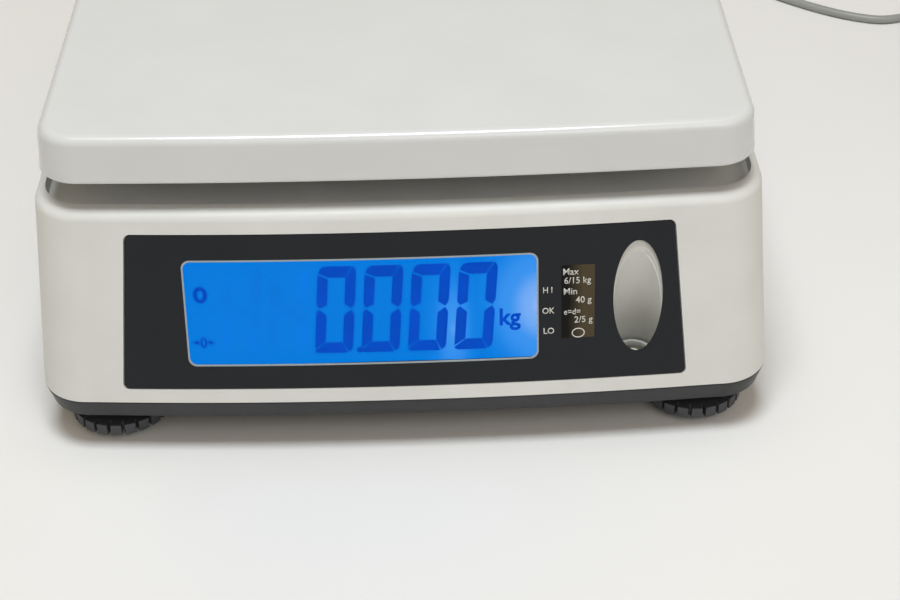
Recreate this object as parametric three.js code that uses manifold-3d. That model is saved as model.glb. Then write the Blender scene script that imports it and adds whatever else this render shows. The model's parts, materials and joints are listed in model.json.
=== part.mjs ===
// A counter weighing scale for shop use: a two-part housing on four screw feet, a load cell that
// carries a lift-off platter, a customer display on the front and an operator's console behind.
//
// Millimetres, +Z up. The origin is at floor level under the middle of the housing. The customer's
// display faces -Y, the operator's console faces +Y, and +X is to the right of the customer.

import * as THREE from "three";
import { mergeVertices } from "three/addons/utils/BufferGeometryUtils.js";
import Module from "manifold-3d";

const wasm = await Module();
wasm.setup();

// ---- driving dimensions ----------------------------------------------------------------------

const GAP = 0.3; // between solids that touch or fit into each other

// housing
const HALF_WIDTH = 132;
const HALF_DEPTH = 143.5;
const CORNER_RADIUS = 18;
const FACE_BOW = 1650; // radius of the front and rear faces in plan
const FACE_LEAN = 14; // degrees that the front face leans back
const SIDE_LEAN = 3.5; // degrees that the side walls lean in
const BASE_BOTTOM = 13;
const SEAM = 22.4;
const RIM_TOP = 91.8;
const RIM_FILLET = 3;
const WALL = 2.6;
const DECK = 86.5; // top of the recessed deck under the platter
const DECK_HALF_WIDTH = 124.6;
const DECK_FRONT = -119.6;
const DECK_REAR = 57;
const DECK_CORNER = 15;

// console: a panel that slopes down to the operator
const CONSOLE_SLOPE = 32; // degrees
const CONSOLE_CENTRE = [0, 101.5, 73.6]; // middle of the console's outer face
const CONSOLE_CREST = 63; // the housing's highest line behind the platter, in Y

// platter
const PLATTER_HALF_WIDTH = 122.7; // at the top; the turned-down edge flares out below it
const PLATTER_FRONT = -123.2;
const PLATTER_REAR = 64.7;
const PLATTER_TOP = 120.5;
const PLATTER_LIP = 103.4; // underside of the turned-down edge
const PLATTER_CORNER = 14;
const PLATTER_FILLET = 3.5;
const PLATTER_WALL = 3;
const PLATTER_BOW = 2200;
const PLATTER_DRAFT = 5.5; // degrees
const RIB_DEPTH = 5.5; // of the ribs under the platter
const PLATTER_CENTRE_Y = (PLATTER_FRONT + PLATTER_REAR) / 2;

// front panel, heights along Z on the leaning face
const PANEL_BOTTOM = 27.8;
const PANEL_TOP = 84.3;
const PANEL_HALF_BOTTOM = 100.35;
const PANEL_HALF_TOP = 95.07;
const PANEL_THICKNESS = 1.2;
const WINDOW_X = [-76.4, 47.6];
const WINDOW_Z = [36.4, 75.4];
const WELL_X = 82.8; // oval sight-hole to the bubble level
const WELL_Z = 57.4;
const WELL_RADIUS = 8.75;
const WELL_HEIGHT = 41.2;
const WELL_TILT = 10.3; // degrees that the well leans in, going down
const WELL_FLOOR = 29;

// weighing gear
const CELL = { width: 30, height: 22, length: 130, bottom: 40 };
const CELL_END = 12.5; // from the end of the cell to the middle of its two screws
const CELL_SCREW_PITCH = 14;
const SEAT_X = 88; // rubber seats under the platter
const SEAT_Y = 56;
const CROSS_BOTTOM = 88;
const CROSS_TOP = 96;
const CELL_SCREW = { radius: 3, hole: 3.3, head: 5, headHole: 5.6, headHeight: 4 };
const CELL_SPACER = 8; // between the cell and the parts it is screwed to

// feet
const FOOT_X = 106.5;
const FOOT_Y = 117.5;
const KNOB_RADIUS = 18.5;
const KNOB_TEETH = 22;
const STUD_RADIUS = 4; // M8

// battery
const BATTERY = { x: 70, y: -6, width: 70, length: 101, height: 47, bottom: BASE_BOTTOM + 6.3 };

// power lead
const LEAD_DIAMETER = 4;
const JACK_X = 70;
const JACK_Z = 33;
const COIL = { x: 293, y: 157.5, inner: 14.5, outer: 30.5, height: 8.2 };
const ADAPTER = { x: 321.5, y: 84, width: 44, depth: 68, height: 30 };
const ADAPTER_RELIEF = 16; // length of the tapered sleeve where the lead enters the adapter
const TAIL_Z = 6.2; // the lead leaves the coil's upper layer and enters the adapter at this height

// The lead's route from the plug's strain relief to the coil, laid on the floor.
const LEAD_ROUTE = [
  [70, 181, 33],
  [70, 192, 31.5],
  [71, 203, 25],
  [74, 213, 14.5],
  [79, 223, 6],
  [87, 232.5, 2.6],
  [98, 240, 2.1],
  [112, 244.5, 2.1],
  [127, 245, 2.1],
  [142, 241.5, 2.1],
  [156, 234, 2.1],
  [168, 224, 2.1],
  [179, 212.5, 2.1],
  [189, 201.5, 2.1],
  [199.3, 192, 2.1],
  [212.8, 181.3, 2.1],
  [226.4, 173, 2.1],
  [240.6, 168.2, 2.1],
  [251, 169.6, 2.1],
  [258.4, 171.9, 2.1],
  [264.6, 174.5, 2.1],
];

// The lead's short straight end from the coil to the adapter.
const TAIL_ROUTE = [
  [321.5, 141, TAIL_Z],
  [321.5, 134.3, TAIL_Z],
];

// ---- small helpers ---------------------------------------------------------------------------

const radians = (degrees) => (degrees * Math.PI) / 180;
const leanPerZ = Math.tan(radians(FACE_LEAN));
const sideLeanPerZ = Math.tan(radians(SIDE_LEAN));
const faceY = (x, z) => -HALF_DEPTH + (x * x) / (2 * FACE_BOW) + (z - SEAM) * leanPerZ;

const material = (color, roughness, metalness = 0) =>
  new THREE.MeshStandardMaterial({ color, roughness, metalness });

const LIGHT_PLASTIC = () => material(0xd6d4cc, 0.35);
const PLATTER_FINISH = () => material(0xdddbd5, 0.18);
const DARK_PLASTIC = () => material(0x48484c, 0.45);
const PANEL_FILM = () => material(0x2c2e32, 0.4);
const CLEAR = () => material(0xc8d8e8, 0.08);
const BLUE_GLASS = () => material(0x0a78e8, 0.25);
const DIFFUSER = () => material(0xe8f0f8, 0.6);
const BOARD = () => material(0x1e5b34, 0.6);
const CAST_ALUMINIUM = () => material(0xb4b6b8, 0.45, 0.9);
const STEEL = () => material(0xa8aaad, 0.3, 1);
const BLACK_PLASTIC = () => material(0x1b1c1e, 0.5);
const RUBBER = () => material(0x18181a, 0.9);
const KEY_PLASTIC = () => material(0xc9ccd0, 0.5);
const LEAD_SHEATH = () => material(0xa8aaa8, 0.5);

function toSolid(geometry) {
  const bare = geometry.index ? geometry.toNonIndexed() : geometry.clone();
  bare.deleteAttribute("normal");
  bare.deleteAttribute("uv");
  const merged = mergeVertices(bare, 1e-4);
  const mesh = new wasm.Mesh({
    numProp: 3,
    vertProperties: new Float32Array(merged.attributes.position.array),
    triVerts: new Uint32Array(merged.index.array),
  });
  return new wasm.Manifold(mesh);
}

function toGeometry(solid) {
  const mesh = solid.getMesh();
  const geometry = new THREE.BufferGeometry();
  geometry.setAttribute("position", new THREE.BufferAttribute(new Float32Array(mesh.vertProperties), 3));
  geometry.setIndex(new THREE.BufferAttribute(new Uint32Array(mesh.triVerts), 1));
  return geometry;
}

const join = (...geometries) =>
  toGeometry(geometries.map(toSolid).reduce((sum, solid) => sum.add(solid)));

const cut = (body, ...cutters) =>
  toGeometry(cutters.map(toSolid).reduce((rest, solid) => rest.subtract(solid), toSolid(body)));

const overlap = (a, b) => toGeometry(toSolid(a).intersect(toSolid(b)));

function box(x0, x1, y0, y1, z0, z1) {
  const geometry = new THREE.BoxGeometry(x1 - x0, y1 - y0, z1 - z0);
  geometry.translate((x0 + x1) / 2, (y0 + y1) / 2, (z0 + z1) / 2);
  return geometry;
}

// A block given by its middle in X and Y and its height range.
const block = (x, y, width, depth, z0, z1) =>
  box(x - width / 2, x + width / 2, y - depth / 2, y + depth / 2, z0, z1);

function post(x, y, radius, z0, z1, sides = 16) {
  const geometry = new THREE.CylinderGeometry(radius, radius, z1 - z0, sides);
  geometry.rotateX(Math.PI / 2);
  geometry.translate(x, y, (z0 + z1) / 2);
  return geometry;
}

// A solid of revolution about +Z from [radius, z] points that start and end on the axis.
function turned(profile, sides = 24) {
  const points = profile.map(([radius, z]) => new THREE.Vector2(radius, z));
  const geometry = new THREE.LatheGeometry(points, sides);
  geometry.rotateX(Math.PI / 2);
  return geometry;
}

function named(name, geometry, finish, place = [0, 0, 0]) {
  const mesh = new THREE.Mesh(geometry, finish());
  mesh.name = name;
  mesh.position.set(...place);
  return mesh;
}

// A closed outline with rounded corners and bowed front and rear edges, as a THREE.Shape.
function bowedOutline(halfWidth, yFront, yRear, radius, frontBow, rearBow, arcSteps) {
  const points = [];
  const edge = halfWidth - radius;
  const corners = [
    { x: edge, y: yFront, bow: frontBow, side: 1, out: -1 },
    { x: edge, y: yRear, bow: rearBow, side: 1, out: 1 },
    { x: edge, y: yRear, bow: rearBow, side: -1, out: 1 },
    { x: edge, y: yFront, bow: frontBow, side: -1, out: -1 },
  ];
  for (const corner of corners) {
    const slope = corner.bow ? Math.atan(corner.x / corner.bow) : 0;
    const sag = corner.bow ? (corner.x * corner.x) / (2 * corner.bow) : 0;
    const centreY = corner.y - corner.out * (sag + radius * Math.cos(slope));
    const arc = [];
    for (let i = 0; i <= arcSteps; i += 1) {
      const angle = slope + ((Math.PI / 2 - slope) * i) / arcSteps;
      const x = corner.side * (corner.x + radius * Math.sin(angle));
      arc.push(new THREE.Vector2(x, centreY + corner.out * radius * Math.cos(angle)));
    }
    if (corner.side * corner.out > 0) arc.reverse();
    points.push(...arc);
    if (corner.bow && corner.side * corner.out > 0) {
      const steps = 10;
      for (let i = 1; i < steps; i += 1) {
        const x = corner.side * corner.x * (1 - (2 * i) / steps);
        points.push(new THREE.Vector2(x, corner.y - (corner.out * x * x) / (2 * corner.bow)));
      }
    }
  }
  return new THREE.Shape(points);
}

// Moves a point of a rounded outline in by a distance, square to the outline.
function moveIn(x, y, distance, halfWidth, yFront, yRear, radius) {
  const overX = Math.abs(x) - (halfWidth - radius);
  const middle = (yFront + yRear) / 2;
  const reach = (yRear - yFront) / 2;
  const overY = Math.abs(y - middle) - (reach - radius - 4);
  const signX = Math.sign(x);
  const signY = Math.sign(y - middle);
  if (overX > 0 && overY > 0) {
    const length = Math.hypot(overX, overY);
    return [x - (signX * distance * overX) / length, y - (signY * distance * overY) / length];
  }
  return overY > overX ? [x, y - signY * distance] : [x - signX * distance, y];
}

// Sweeps an outline up through rings, each a function of (x, y) that gives the point in space.
function stack(shape, rings) {
  const geometry = new THREE.ExtrudeGeometry(shape, {
    depth: rings.length - 1,
    steps: rings.length - 1,
    bevelEnabled: false,
  });
  const position = geometry.attributes.position;
  for (let i = 0; i < position.count; i += 1) {
    const ring = rings[Math.round(position.getZ(i))];
    position.setXYZ(i, ...ring(position.getX(i), position.getY(i)));
  }
  return geometry;
}

// Extrudes an outline given in (x, z) along Y.
function prismAlongY(shape, y0, y1) {
  const geometry = new THREE.ExtrudeGeometry(shape, { depth: y1 - y0, bevelEnabled: false });
  geometry.rotateX(Math.PI / 2);
  geometry.translate(0, y1, 0);
  return geometry;
}

// Extrudes a side outline given as [y, z] points along X.
function prismAlongX(points, x0, x1) {
  const shape = new THREE.Shape(points.map(([y, z]) => new THREE.Vector2(y, z)));
  const geometry = new THREE.ExtrudeGeometry(shape, { depth: x1 - x0, bevelEnabled: false });
  geometry.applyMatrix4(new THREE.Matrix4().set(0, 0, 1, x0, 1, 0, 0, 0, 0, 1, 0, 0, 0, 0, 0, 1));
  return geometry;
}

function roundedRectangle(x0, x1, y0, y1, radius) {
  const shape = new THREE.Shape();
  shape.moveTo(x0 + radius, y0);
  shape.lineTo(x1 - radius, y0);
  shape.absarc(x1 - radius, y0 + radius, radius, -Math.PI / 2, 0);
  shape.lineTo(x1, y1 - radius);
  shape.absarc(x1 - radius, y1 - radius, radius, 0, Math.PI / 2);
  shape.lineTo(x0 + radius, y1);
  shape.absarc(x0 + radius, y1 - radius, radius, Math.PI / 2, Math.PI);
  shape.lineTo(x0, y0 + radius);
  shape.absarc(x0 + radius, y0 + radius, radius, Math.PI, (3 * Math.PI) / 2);
  return shape;
}

function flatExtrusion(shape, z0, z1, curveSegments = 5) {
  const geometry = new THREE.ExtrudeGeometry(shape, { depth: z1 - z0, bevelEnabled: false, curveSegments });
  geometry.translate(0, 0, z0);
  return geometry;
}

// ---- housing ---------------------------------------------------------------------------------

const bodyOutline = () =>
  bowedOutline(HALF_WIDTH, -HALF_DEPTH, HALF_DEPTH, CORNER_RADIUS, FACE_BOW, FACE_BOW, 5);

// A ring of the housing's outer wall: moved in, raised to z, leaning with the front and the sides.
function bodyRing(z, inset) {
  return (x, y) => {
    const [px, py] = moveIn(x, y, inset, HALF_WIDTH, -HALF_DEPTH, HALF_DEPTH, CORNER_RADIUS);
    const rise = Math.max(0, z - SEAM);
    const lean = y < 0 ? rise * leanPerZ : 0;
    return [px * (1 - (rise * sideLeanPerZ) / HALF_WIDTH), py + lean, z];
  };
}

// The side outline of the housing's top: rim, crest behind the platter, sloping console, rear lip.
function topProfile(drop, reach) {
  const slope = Math.tan(radians(CONSOLE_SLOPE));
  const [, centreY, centreZ] = CONSOLE_CENTRE;
  const along = (y) => centreZ - (y - centreY) * slope - drop / Math.cos(radians(CONSOLE_SLOPE));
  const crest = along(CONSOLE_CREST) - 0.6;
  return [
    [-200, 0],
    [reach, 0],
    [reach, along(reach)],
    [CONSOLE_CREST + 1.6, along(CONSOLE_CREST + 1.6)],
    [CONSOLE_CREST - 1, crest],
    [DECK_REAR + 2 + drop / 2, crest],
    [DECK_REAR + 1 + drop / 2, RIM_TOP - drop],
    [-200, RIM_TOP - drop],
  ];
}

function upperShell() {
  const outer = overlap(
    stack(bodyOutline(), [
      bodyRing(SEAM, 0),
      bodyRing(RIM_TOP - RIM_FILLET, 0),
      bodyRing(RIM_TOP - RIM_FILLET * 0.5, RIM_FILLET * 0.14),
      bodyRing(RIM_TOP - RIM_FILLET * 0.13, RIM_FILLET * 0.5),
      bodyRing(RIM_TOP, RIM_FILLET),
      bodyRing(RIM_TOP + 12, RIM_FILLET),
    ]),
    prismAlongX(topProfile(0, HALF_DEPTH + 20), -200, 200),
  );
  const inner = overlap(
    stack(bodyOutline(), [bodyRing(SEAM - 5, WALL), bodyRing(SEAM, WALL), bodyRing(RIM_TOP + 8, WALL)]),
    prismAlongX(topProfile(WALL, HALF_DEPTH + 20), -200, 200),
  );
  return { outer, inner };
}

const deckOutline = (inset) =>
  bowedOutline(DECK_HALF_WIDTH - inset, DECK_FRONT + inset, DECK_REAR - inset, DECK_CORNER, FACE_BOW, 0, 5);

const CONSOLE_MATRIX = new THREE.Matrix4()
  .makeTranslation(...CONSOLE_CENTRE)
  .multiply(new THREE.Matrix4().makeRotationX(-radians(CONSOLE_SLOPE)));

const onConsole = (geometry) => geometry.applyMatrix4(CONSOLE_MATRIX);

const panelOutline = (grow) => {
  const shape = new THREE.Shape();
  const rise = PANEL_TOP - PANEL_BOTTOM;
  const taper = (PANEL_HALF_BOTTOM - PANEL_HALF_TOP) / rise;
  const bottom = PANEL_HALF_BOTTOM + grow;
  const top = PANEL_HALF_TOP + grow;
  const radius = 2;
  const z0 = PANEL_BOTTOM - grow;
  const z1 = PANEL_TOP + grow;
  shape.moveTo(-bottom + radius, z0);
  shape.lineTo(bottom - radius, z0);
  shape.quadraticCurveTo(bottom, z0, bottom - taper * radius, z0 + radius);
  shape.lineTo(top + taper * radius, z1 - radius);
  shape.quadraticCurveTo(top, z1, top - radius, z1);
  shape.lineTo(-top + radius, z1);
  shape.quadraticCurveTo(-top, z1, -top - taper * radius, z1 - radius);
  shape.lineTo(-bottom + taper * radius, z0 + radius);
  shape.quadraticCurveTo(-bottom, z0, -bottom + radius, z0);
  return shape;
};

// The layer between two depths behind the leaning, bowed front face.
function faceLayer(depth0, depth1, steps = 12) {
  const reach = PANEL_HALF_BOTTOM + 6;
  const points = [];
  const across = (depth, i) => {
    const x = -reach + (2 * reach * i) / steps;
    return new THREE.Vector2(x, faceY(x, SEAM) + depth / Math.cos(radians(FACE_LEAN)));
  };
  for (let i = 0; i <= steps; i += 1) points.push(across(depth0, i));
  for (let i = steps; i >= 0; i -= 1) points.push(across(depth1, i));
  const lean = (z) => (x, y) => [x, y + (z - SEAM) * leanPerZ, z];
  return stack(new THREE.Shape(points), [lean(PANEL_BOTTOM - 5), lean(PANEL_TOP + 5)]);
}

const windowOutline = (grow) =>
  roundedRectangle(
    WINDOW_X[0] - grow,
    WINDOW_X[1] + grow,
    WINDOW_Z[0] - grow,
    WINDOW_Z[1] + grow,
    3,
  );

const throughFront = (shape) => prismAlongY(shape, -HALF_DEPTH - 10, -HALF_DEPTH + 34);

// A round bar along the level's well, which leans in as it goes down.
function wellBar(radius, up, down, sides = 24) {
  const geometry = new THREE.CylinderGeometry(radius, radius, up + down, sides);
  geometry.rotateX(Math.PI / 2);
  geometry.translate(0, 0, (up - down) / 2);
  geometry.rotateX(radians(WELL_TILT));
  geometry.translate(WELL_X, faceY(WELL_X, WELL_Z), WELL_Z);
  return geometry;
}

const wellOutline = (grow) => {
  const shape = new THREE.Shape();
  shape.absellipse(WELL_X, WELL_Z, WELL_RADIUS + grow, WELL_HEIGHT / 2 + grow, 0, 2 * Math.PI);
  return shape;
};

const CONSOLE_WINDOW = { x0: -62, x1: 62, y0: -33, y1: -3 };
const CONSOLE_PANEL = { halfWidth: 104, y0: -38, y1: 34 };
const KEY = { width: 21, depth: 12, pitch: 32, y: 14, travel: 0.8 };
const KEY_NAMES = ["key_zero", "key_tare", "key_units", "key_count", "key_light", "key_power"];
const keyX = (i) => (i - (KEY_NAMES.length - 1) / 2) * KEY.pitch;

const HOUSING_SCREW = { radius: 1.6, hole: 2.3, pilot: 1.9, head: 3.6, headHole: 4.2, headHeight: 2.4 };
const SCREW_HEAD_Z = BASE_BOTTOM + 7.7; // heads of the screws that go up into the base
const COUNTERSINK_Z = BASE_BOTTOM + 8;
const POST_RADIUS = 5;
const SCREW_POSTS = [
  [-110.8, -66],
  [110.8, -66],
  [-110.8, 70],
  [110.8, 70],
];

function upperHousing() {
  const { outer, inner } = upperShell();
  const deckWell = flatExtrusion(deckOutline(0), DECK, RIM_TOP + 30);
  const underDeck = flatExtrusion(deckOutline(-WALL), DECK - WALL, RIM_TOP);
  const hollow = cut(inner, underDeck);
  let shell = cut(outer, hollow, deckWell);
  // The cross passes through the deck here, clear all round.
  const opening = roundedRectangle(-27, 27, FREE_Y - 31.5, FREE_Y + 26.5, 6);
  shell = cut(shell, flatExtrusion(opening, DECK - 10, DECK + 10));
  // Posts that take the housing screws hang from the deck and the console.
  for (const [x, y] of SCREW_POSTS) {
    shell = join(shell, overlap(post(x, y, POST_RADIUS, PEDESTAL_TOP + GAP, RIM_TOP + 3, 16), inner));
    shell = cut(shell, post(x, y, HOUSING_SCREW.pilot, SEAM - 3, 48, 12));
  }
  // The well of the bubble level, then the recess for the front panel and its window.
  const wellWall = overlap(wellBar(WELL_RADIUS + 2, 24, 60, 20), outer);
  shell = join(shell, wellWall);
  shell = cut(shell, wellBar(WELL_RADIUS, 40, 60));
  const recess = overlap(faceLayer(-1, PANEL_THICKNESS + 0.1), throughFront(panelOutline(GAP)));
  shell = cut(shell, recess, throughFront(windowOutline(2.6)));
  // Console: recess for its panel, the window and the key openings.
  const { halfWidth, y0, y1 } = CONSOLE_PANEL;
  const panel = flatExtrusion(roundedRectangle(-halfWidth, halfWidth, y0, y1, 4), -0.9, 8);
  shell = cut(shell, onConsole(panel));
  const glass = CONSOLE_WINDOW;
  shell = cut(shell, onConsole(box(glass.x0, glass.x1, glass.y0, glass.y1, -12, 8)));
  for (let i = 0; i < KEY_NAMES.length; i += 1) {
    shell = cut(shell, onConsole(block(keyX(i), KEY.y, KEY.width + 1, KEY.depth + 1, -12, 8)));
  }
  // Round hole for the power jack.
  const jackHole = post(0, 0, 6.3, -12, 12, 20).rotateX(Math.PI / 2);
  shell = cut(shell, jackHole.translate(JACK_X, HALF_DEPTH, JACK_Z));
  return named("upper_housing", shell, LIGHT_PLASTIC);
}

const PEDESTAL_TOP = 30; // of the posts that stand on the base's floor
const STOP_Y = PLATTER_CENTRE_Y + CELL.length / 2 - 10;

function lowerHousing() {
  const outer = stack(bodyOutline(), [
    bodyRing(BASE_BOTTOM, 3.4),
    bodyRing(BASE_BOTTOM + 1.1, 2.4),
    bodyRing(SEAM - GAP, 0),
  ]);
  const inner = stack(bodyOutline(), [bodyRing(BASE_BOTTOM + 3, 6), bodyRing(SEAM + 1, 3)]);
  const floorZ = BASE_BOTTOM + 2.5;
  let tray = cut(outer, inner);
  for (const sx of [-1, 1]) {
    for (const sy of [-1, 1]) {
      tray = join(tray, post(sx * FOOT_X, sy * FOOT_Y, 9, floorZ, PEDESTAL_TOP));
    }
  }
  for (const [x, y] of SCREW_POSTS) {
    tray = join(tray, post(x, y, POST_RADIUS, floorZ, PEDESTAL_TOP, 16));
  }
  tray = join(tray, block(0, FIXED_Y, 44, 34, floorZ, CELL.bottom - 6 - GAP));
  tray = join(tray, block(0, STOP_Y, 24, 20, floorZ, PEDESTAL_TOP));
  const b = BATTERY;
  tray = join(tray, block(b.x, b.y, b.width + 14, b.length + 14, floorZ, BASE_BOTTOM + 6));
  // Low walls that locate the battery.
  const wall = cut(
    block(b.x, b.y, b.width + 5, b.length + 5, BASE_BOTTOM + 5, 40),
    block(b.x, b.y, b.width + 1, b.length + 1, BASE_BOTTOM, 50),
  );
  tray = join(tray, wall);
  const cutters = [
    block(b.x, b.y, b.width + 8.6, b.length + 8.6, BASE_BOTTOM - 5, BASE_BOTTOM + 3),
    block(b.x, b.y, b.width - 4, b.length - 6, BASE_BOTTOM - 5, BASE_BOTTOM + 10),
  ];
  for (const sx of [-1, 1]) {
    for (const sy of [-1, 1]) {
      cutters.push(post(sx * FOOT_X, sy * FOOT_Y, STUD_RADIUS + 0.3, 0, 40, 16));
    }
  }
  for (const [x, y] of SCREW_POSTS) {
    cutters.push(post(x, y, HOUSING_SCREW.hole, 0, 40, 12));
    cutters.push(post(x, y, HOUSING_SCREW.headHole, 0, COUNTERSINK_Z, 14));
  }
  for (const y of screwPair(FIXED_Y)) {
    cutters.push(post(0, y, CELL_SCREW.hole, 0, 40, 14));
    cutters.push(post(0, y, CELL_SCREW.headHole, 0, COUNTERSINK_Z, 14));
  }
  cutters.push(post(0, STOP_Y, STOP_SCREW.hole, 0, 40, 14));
  return named("lower_housing", cut(tray, ...cutters), DARK_PLASTIC);
}

// ---- front display ---------------------------------------------------------------------------

const LCD_DEPTH = 3.1; // from the face's middle line to the front of the display glass
const DISPLAY_X = (WINDOW_X[0] + WINDOW_X[1]) / 2;
const DISPLAY_Z = (WINDOW_Z[0] + WINDOW_Z[1]) / 2;

// A flat slab that leans with the front face, its front a given depth behind the face.
function leaningSlab(halfWidth, halfHeight, depth, thickness) {
  const slab = box(-halfWidth, halfWidth, 0, thickness, -halfHeight, halfHeight);
  slab.rotateX(-radians(FACE_LEAN));
  const back = depth / Math.cos(radians(FACE_LEAN));
  return slab.translate(DISPLAY_X, faceY(0, DISPLAY_Z) + back, DISPLAY_Z);
}

function frontDisplay() {
  const film = cut(
    overlap(faceLayer(0, PANEL_THICKNESS - 0.2), throughFront(panelOutline(0))),
    throughFront(windowOutline(0)),
    throughFront(wellOutline(0)),
  );
  const pane = overlap(faceLayer(0, PANEL_THICKNESS - 0.2), throughFront(windowOutline(-GAP)));
  return [
    named("front_panel", film, PANEL_FILM),
    named("front_window", pane, CLEAR),
    named("front_lcd", leaningSlab(63.8, 21.4, LCD_DEPTH, 2.2), BLUE_GLASS),
    named("front_backlight", leaningSlab(63.8, 21.4, LCD_DEPTH + 2.5, 3), DIFFUSER),
    named("front_display_board", leaningSlab(70, 25, LCD_DEPTH + 5.8, 1.6), BOARD),
  ];
}

function bubbleLevel() {
  const y = faceY(WELL_X, WELL_Z) + (WELL_Z - WELL_FLOOR) * Math.tan(radians(WELL_TILT));
  const cup = turned([
    [0, WELL_FLOOR - 6.7],
    [7.4, WELL_FLOOR - 6.7],
    [7.4, WELL_FLOOR],
    [6.6, WELL_FLOOR],
    [6.6, WELL_FLOOR - 5.6],
    [0, WELL_FLOOR - 5.6],
  ], 28);
  const vial = turned([
    [0, WELL_FLOOR - 5.3],
    [6.3, WELL_FLOOR - 5.3],
    [6.3, WELL_FLOOR - 0.4],
    [4, WELL_FLOOR - 0.1],
    [0, WELL_FLOOR],
  ], 28);
  return [
    named("level_cup", cup, LIGHT_PLASTIC, [WELL_X, y, 0]),
    named("level_vial", vial, CLEAR, [WELL_X, y, 0]),
  ];
}

// ---- operator's console ----------------------------------------------------------------------

function operatorConsole() {
  const group = new THREE.Group();
  group.position.set(...CONSOLE_CENTRE);
  group.rotation.x = -radians(CONSOLE_SLOPE);
  const { halfWidth, y0, y1 } = CONSOLE_PANEL;
  const glass = CONSOLE_WINDOW;
  let film = flatExtrusion(
    roundedRectangle(-halfWidth + GAP, halfWidth - GAP, y0 + GAP, y1 - GAP, 4),
    -0.6,
    0,
  );
  film = cut(film, box(glass.x0, glass.x1, glass.y0, glass.y1, -5, 5));
  for (let i = 0; i < KEY_NAMES.length; i += 1) {
    film = cut(film, block(keyX(i), KEY.y, KEY.width + 1, KEY.depth + 1, -5, 5));
  }
  const pane = box(glass.x0 + GAP, glass.x1 - GAP, glass.y0 + GAP, glass.y1 - GAP, -1.2, 0);
  const grow = 3;
  const lcd = box(glass.x0 - grow, glass.x1 + grow, glass.y0 - grow, glass.y1 + grow, -6.4, -4.2);
  const light = box(glass.x0 - grow, glass.x1 + grow, glass.y0 - grow, glass.y1 + grow, -9.7, -6.7);
  const board = box(-halfWidth + 2, halfWidth - 2, y0 + 4, y1 - 4, -11.8, -10.2);
  group.add(
    named("console_panel", film, PANEL_FILM),
    named("console_window", pane, CLEAR),
    named("console_lcd", lcd, BLUE_GLASS),
    named("console_backlight", light, DIFFUSER),
    named("console_board", board, BOARD),
  );
  for (let i = 0; i < KEY_NAMES.length; i += 1) {
    const cap = flatExtrusion(
      roundedRectangle(-KEY.width / 2, KEY.width / 2, -KEY.depth / 2, KEY.depth / 2, 2),
      -3,
      1.4,
      3,
    );
    const flange = block(0, 0, KEY.width + 4, KEY.depth + 4, -4.4, -2.9);
    const stem = block(0, 0, 6, 4, -9, -4);
    group.add(named(KEY_NAMES[i], join(cap, flange, stem), KEY_PLASTIC, [keyX(i), KEY.y, 0]));
  }
  return group;
}

// ---- weighing gear ---------------------------------------------------------------------------

const cellFront = PLATTER_CENTRE_Y - CELL.length / 2;
const cellRear = PLATTER_CENTRE_Y + CELL.length / 2;
const cellTop = CELL.bottom + CELL.height;
const FIXED_Y = cellFront + CELL_END;
const FREE_Y = cellRear - CELL_END;
const CROSS_FOOT = cellTop + GAP + CELL_SPACER + GAP;

// A round bar along X through the cell.
function crossBar(radius, y, z) {
  const bar = new THREE.CylinderGeometry(radius, radius, CELL.width + 10, 20);
  bar.rotateZ(Math.PI / 2);
  return bar.translate(0, y, z);
}

const screwPair = (y) => [y - CELL_SCREW_PITCH / 2, y + CELL_SCREW_PITCH / 2];
const STOP_SCREW = { radius: 2.5, hole: 2.8, head: 4.5, headHeight: 2.8, length: 22 };

function loadCell() {
  const w = CELL.width / 2;
  const middle = CELL.bottom + CELL.height / 2;
  const holes = [-14, 14].map((dy) => crossBar(8, PLATTER_CENTRE_Y + dy, middle));
  const slot = box(-w - 5, w + 5, PLATTER_CENTRE_Y - 14, PLATTER_CENTRE_Y + 14, middle - 3, middle + 3);
  const screws = [...screwPair(FIXED_Y), ...screwPair(FREE_Y)];
  const bores = screws.map((y) => post(0, y, CELL_SCREW.hole, 0, 200, 14));
  const bar = box(-w, w, cellFront, cellRear, CELL.bottom, cellTop);
  return named("load_cell", cut(bar, ...holes, slot, ...bores), CAST_ALUMINIUM);
}

function spacer(name, y, z0, z1) {
  const bores = screwPair(y).map((by) => post(0, by, CELL_SCREW.hole, 0, 200, 14));
  return named(name, cut(block(0, y, CELL.width, 25, z0, z1), ...bores), STEEL);
}

// The cast cross that carries the platter from the free end of the load cell.
function platterCross() {
  const middle = roundedRectangle(-24, 24, PLATTER_CENTRE_Y - 34, FREE_Y + 18.5, 8);
  const plate = flatExtrusion(middle, CROSS_BOTTOM, CROSS_TOP);
  const foot = block(0, FREE_Y, CELL.width, 26, CROSS_FOOT, CROSS_TOP - 1);
  let cross = join(plate, foot);
  const reach = Math.hypot(SEAT_X, SEAT_Y);
  for (const sign of [-1, 1]) {
    const arm = box(-reach, reach, -7, 7, CROSS_BOTTOM, CROSS_TOP);
    arm.rotateZ(sign * Math.atan2(SEAT_Y, SEAT_X));
    cross = join(cross, arm.translate(0, PLATTER_CENTRE_Y, 0));
  }
  for (const sx of [-1, 1]) {
    for (const sy of [-1, 1]) {
      const y = PLATTER_CENTRE_Y + sy * SEAT_Y;
      cross = join(cross, post(sx * SEAT_X, y, 11, CROSS_BOTTOM, CROSS_TOP + 2));
      cross = cut(cross, post(sx * SEAT_X, y, 7.4, CROSS_BOTTOM + 4, CROSS_TOP + 5));
    }
  }
  const bores = screwPair(FREE_Y).flatMap((y) => [
    post(0, y, CELL_SCREW.hole, 0, 200, 14),
    post(0, y, CELL_SCREW.headHole, CROSS_TOP - 5, 200, 14),
  ]);
  return named("platter_cross", cut(cross, ...bores), CAST_ALUMINIUM);
}

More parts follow.
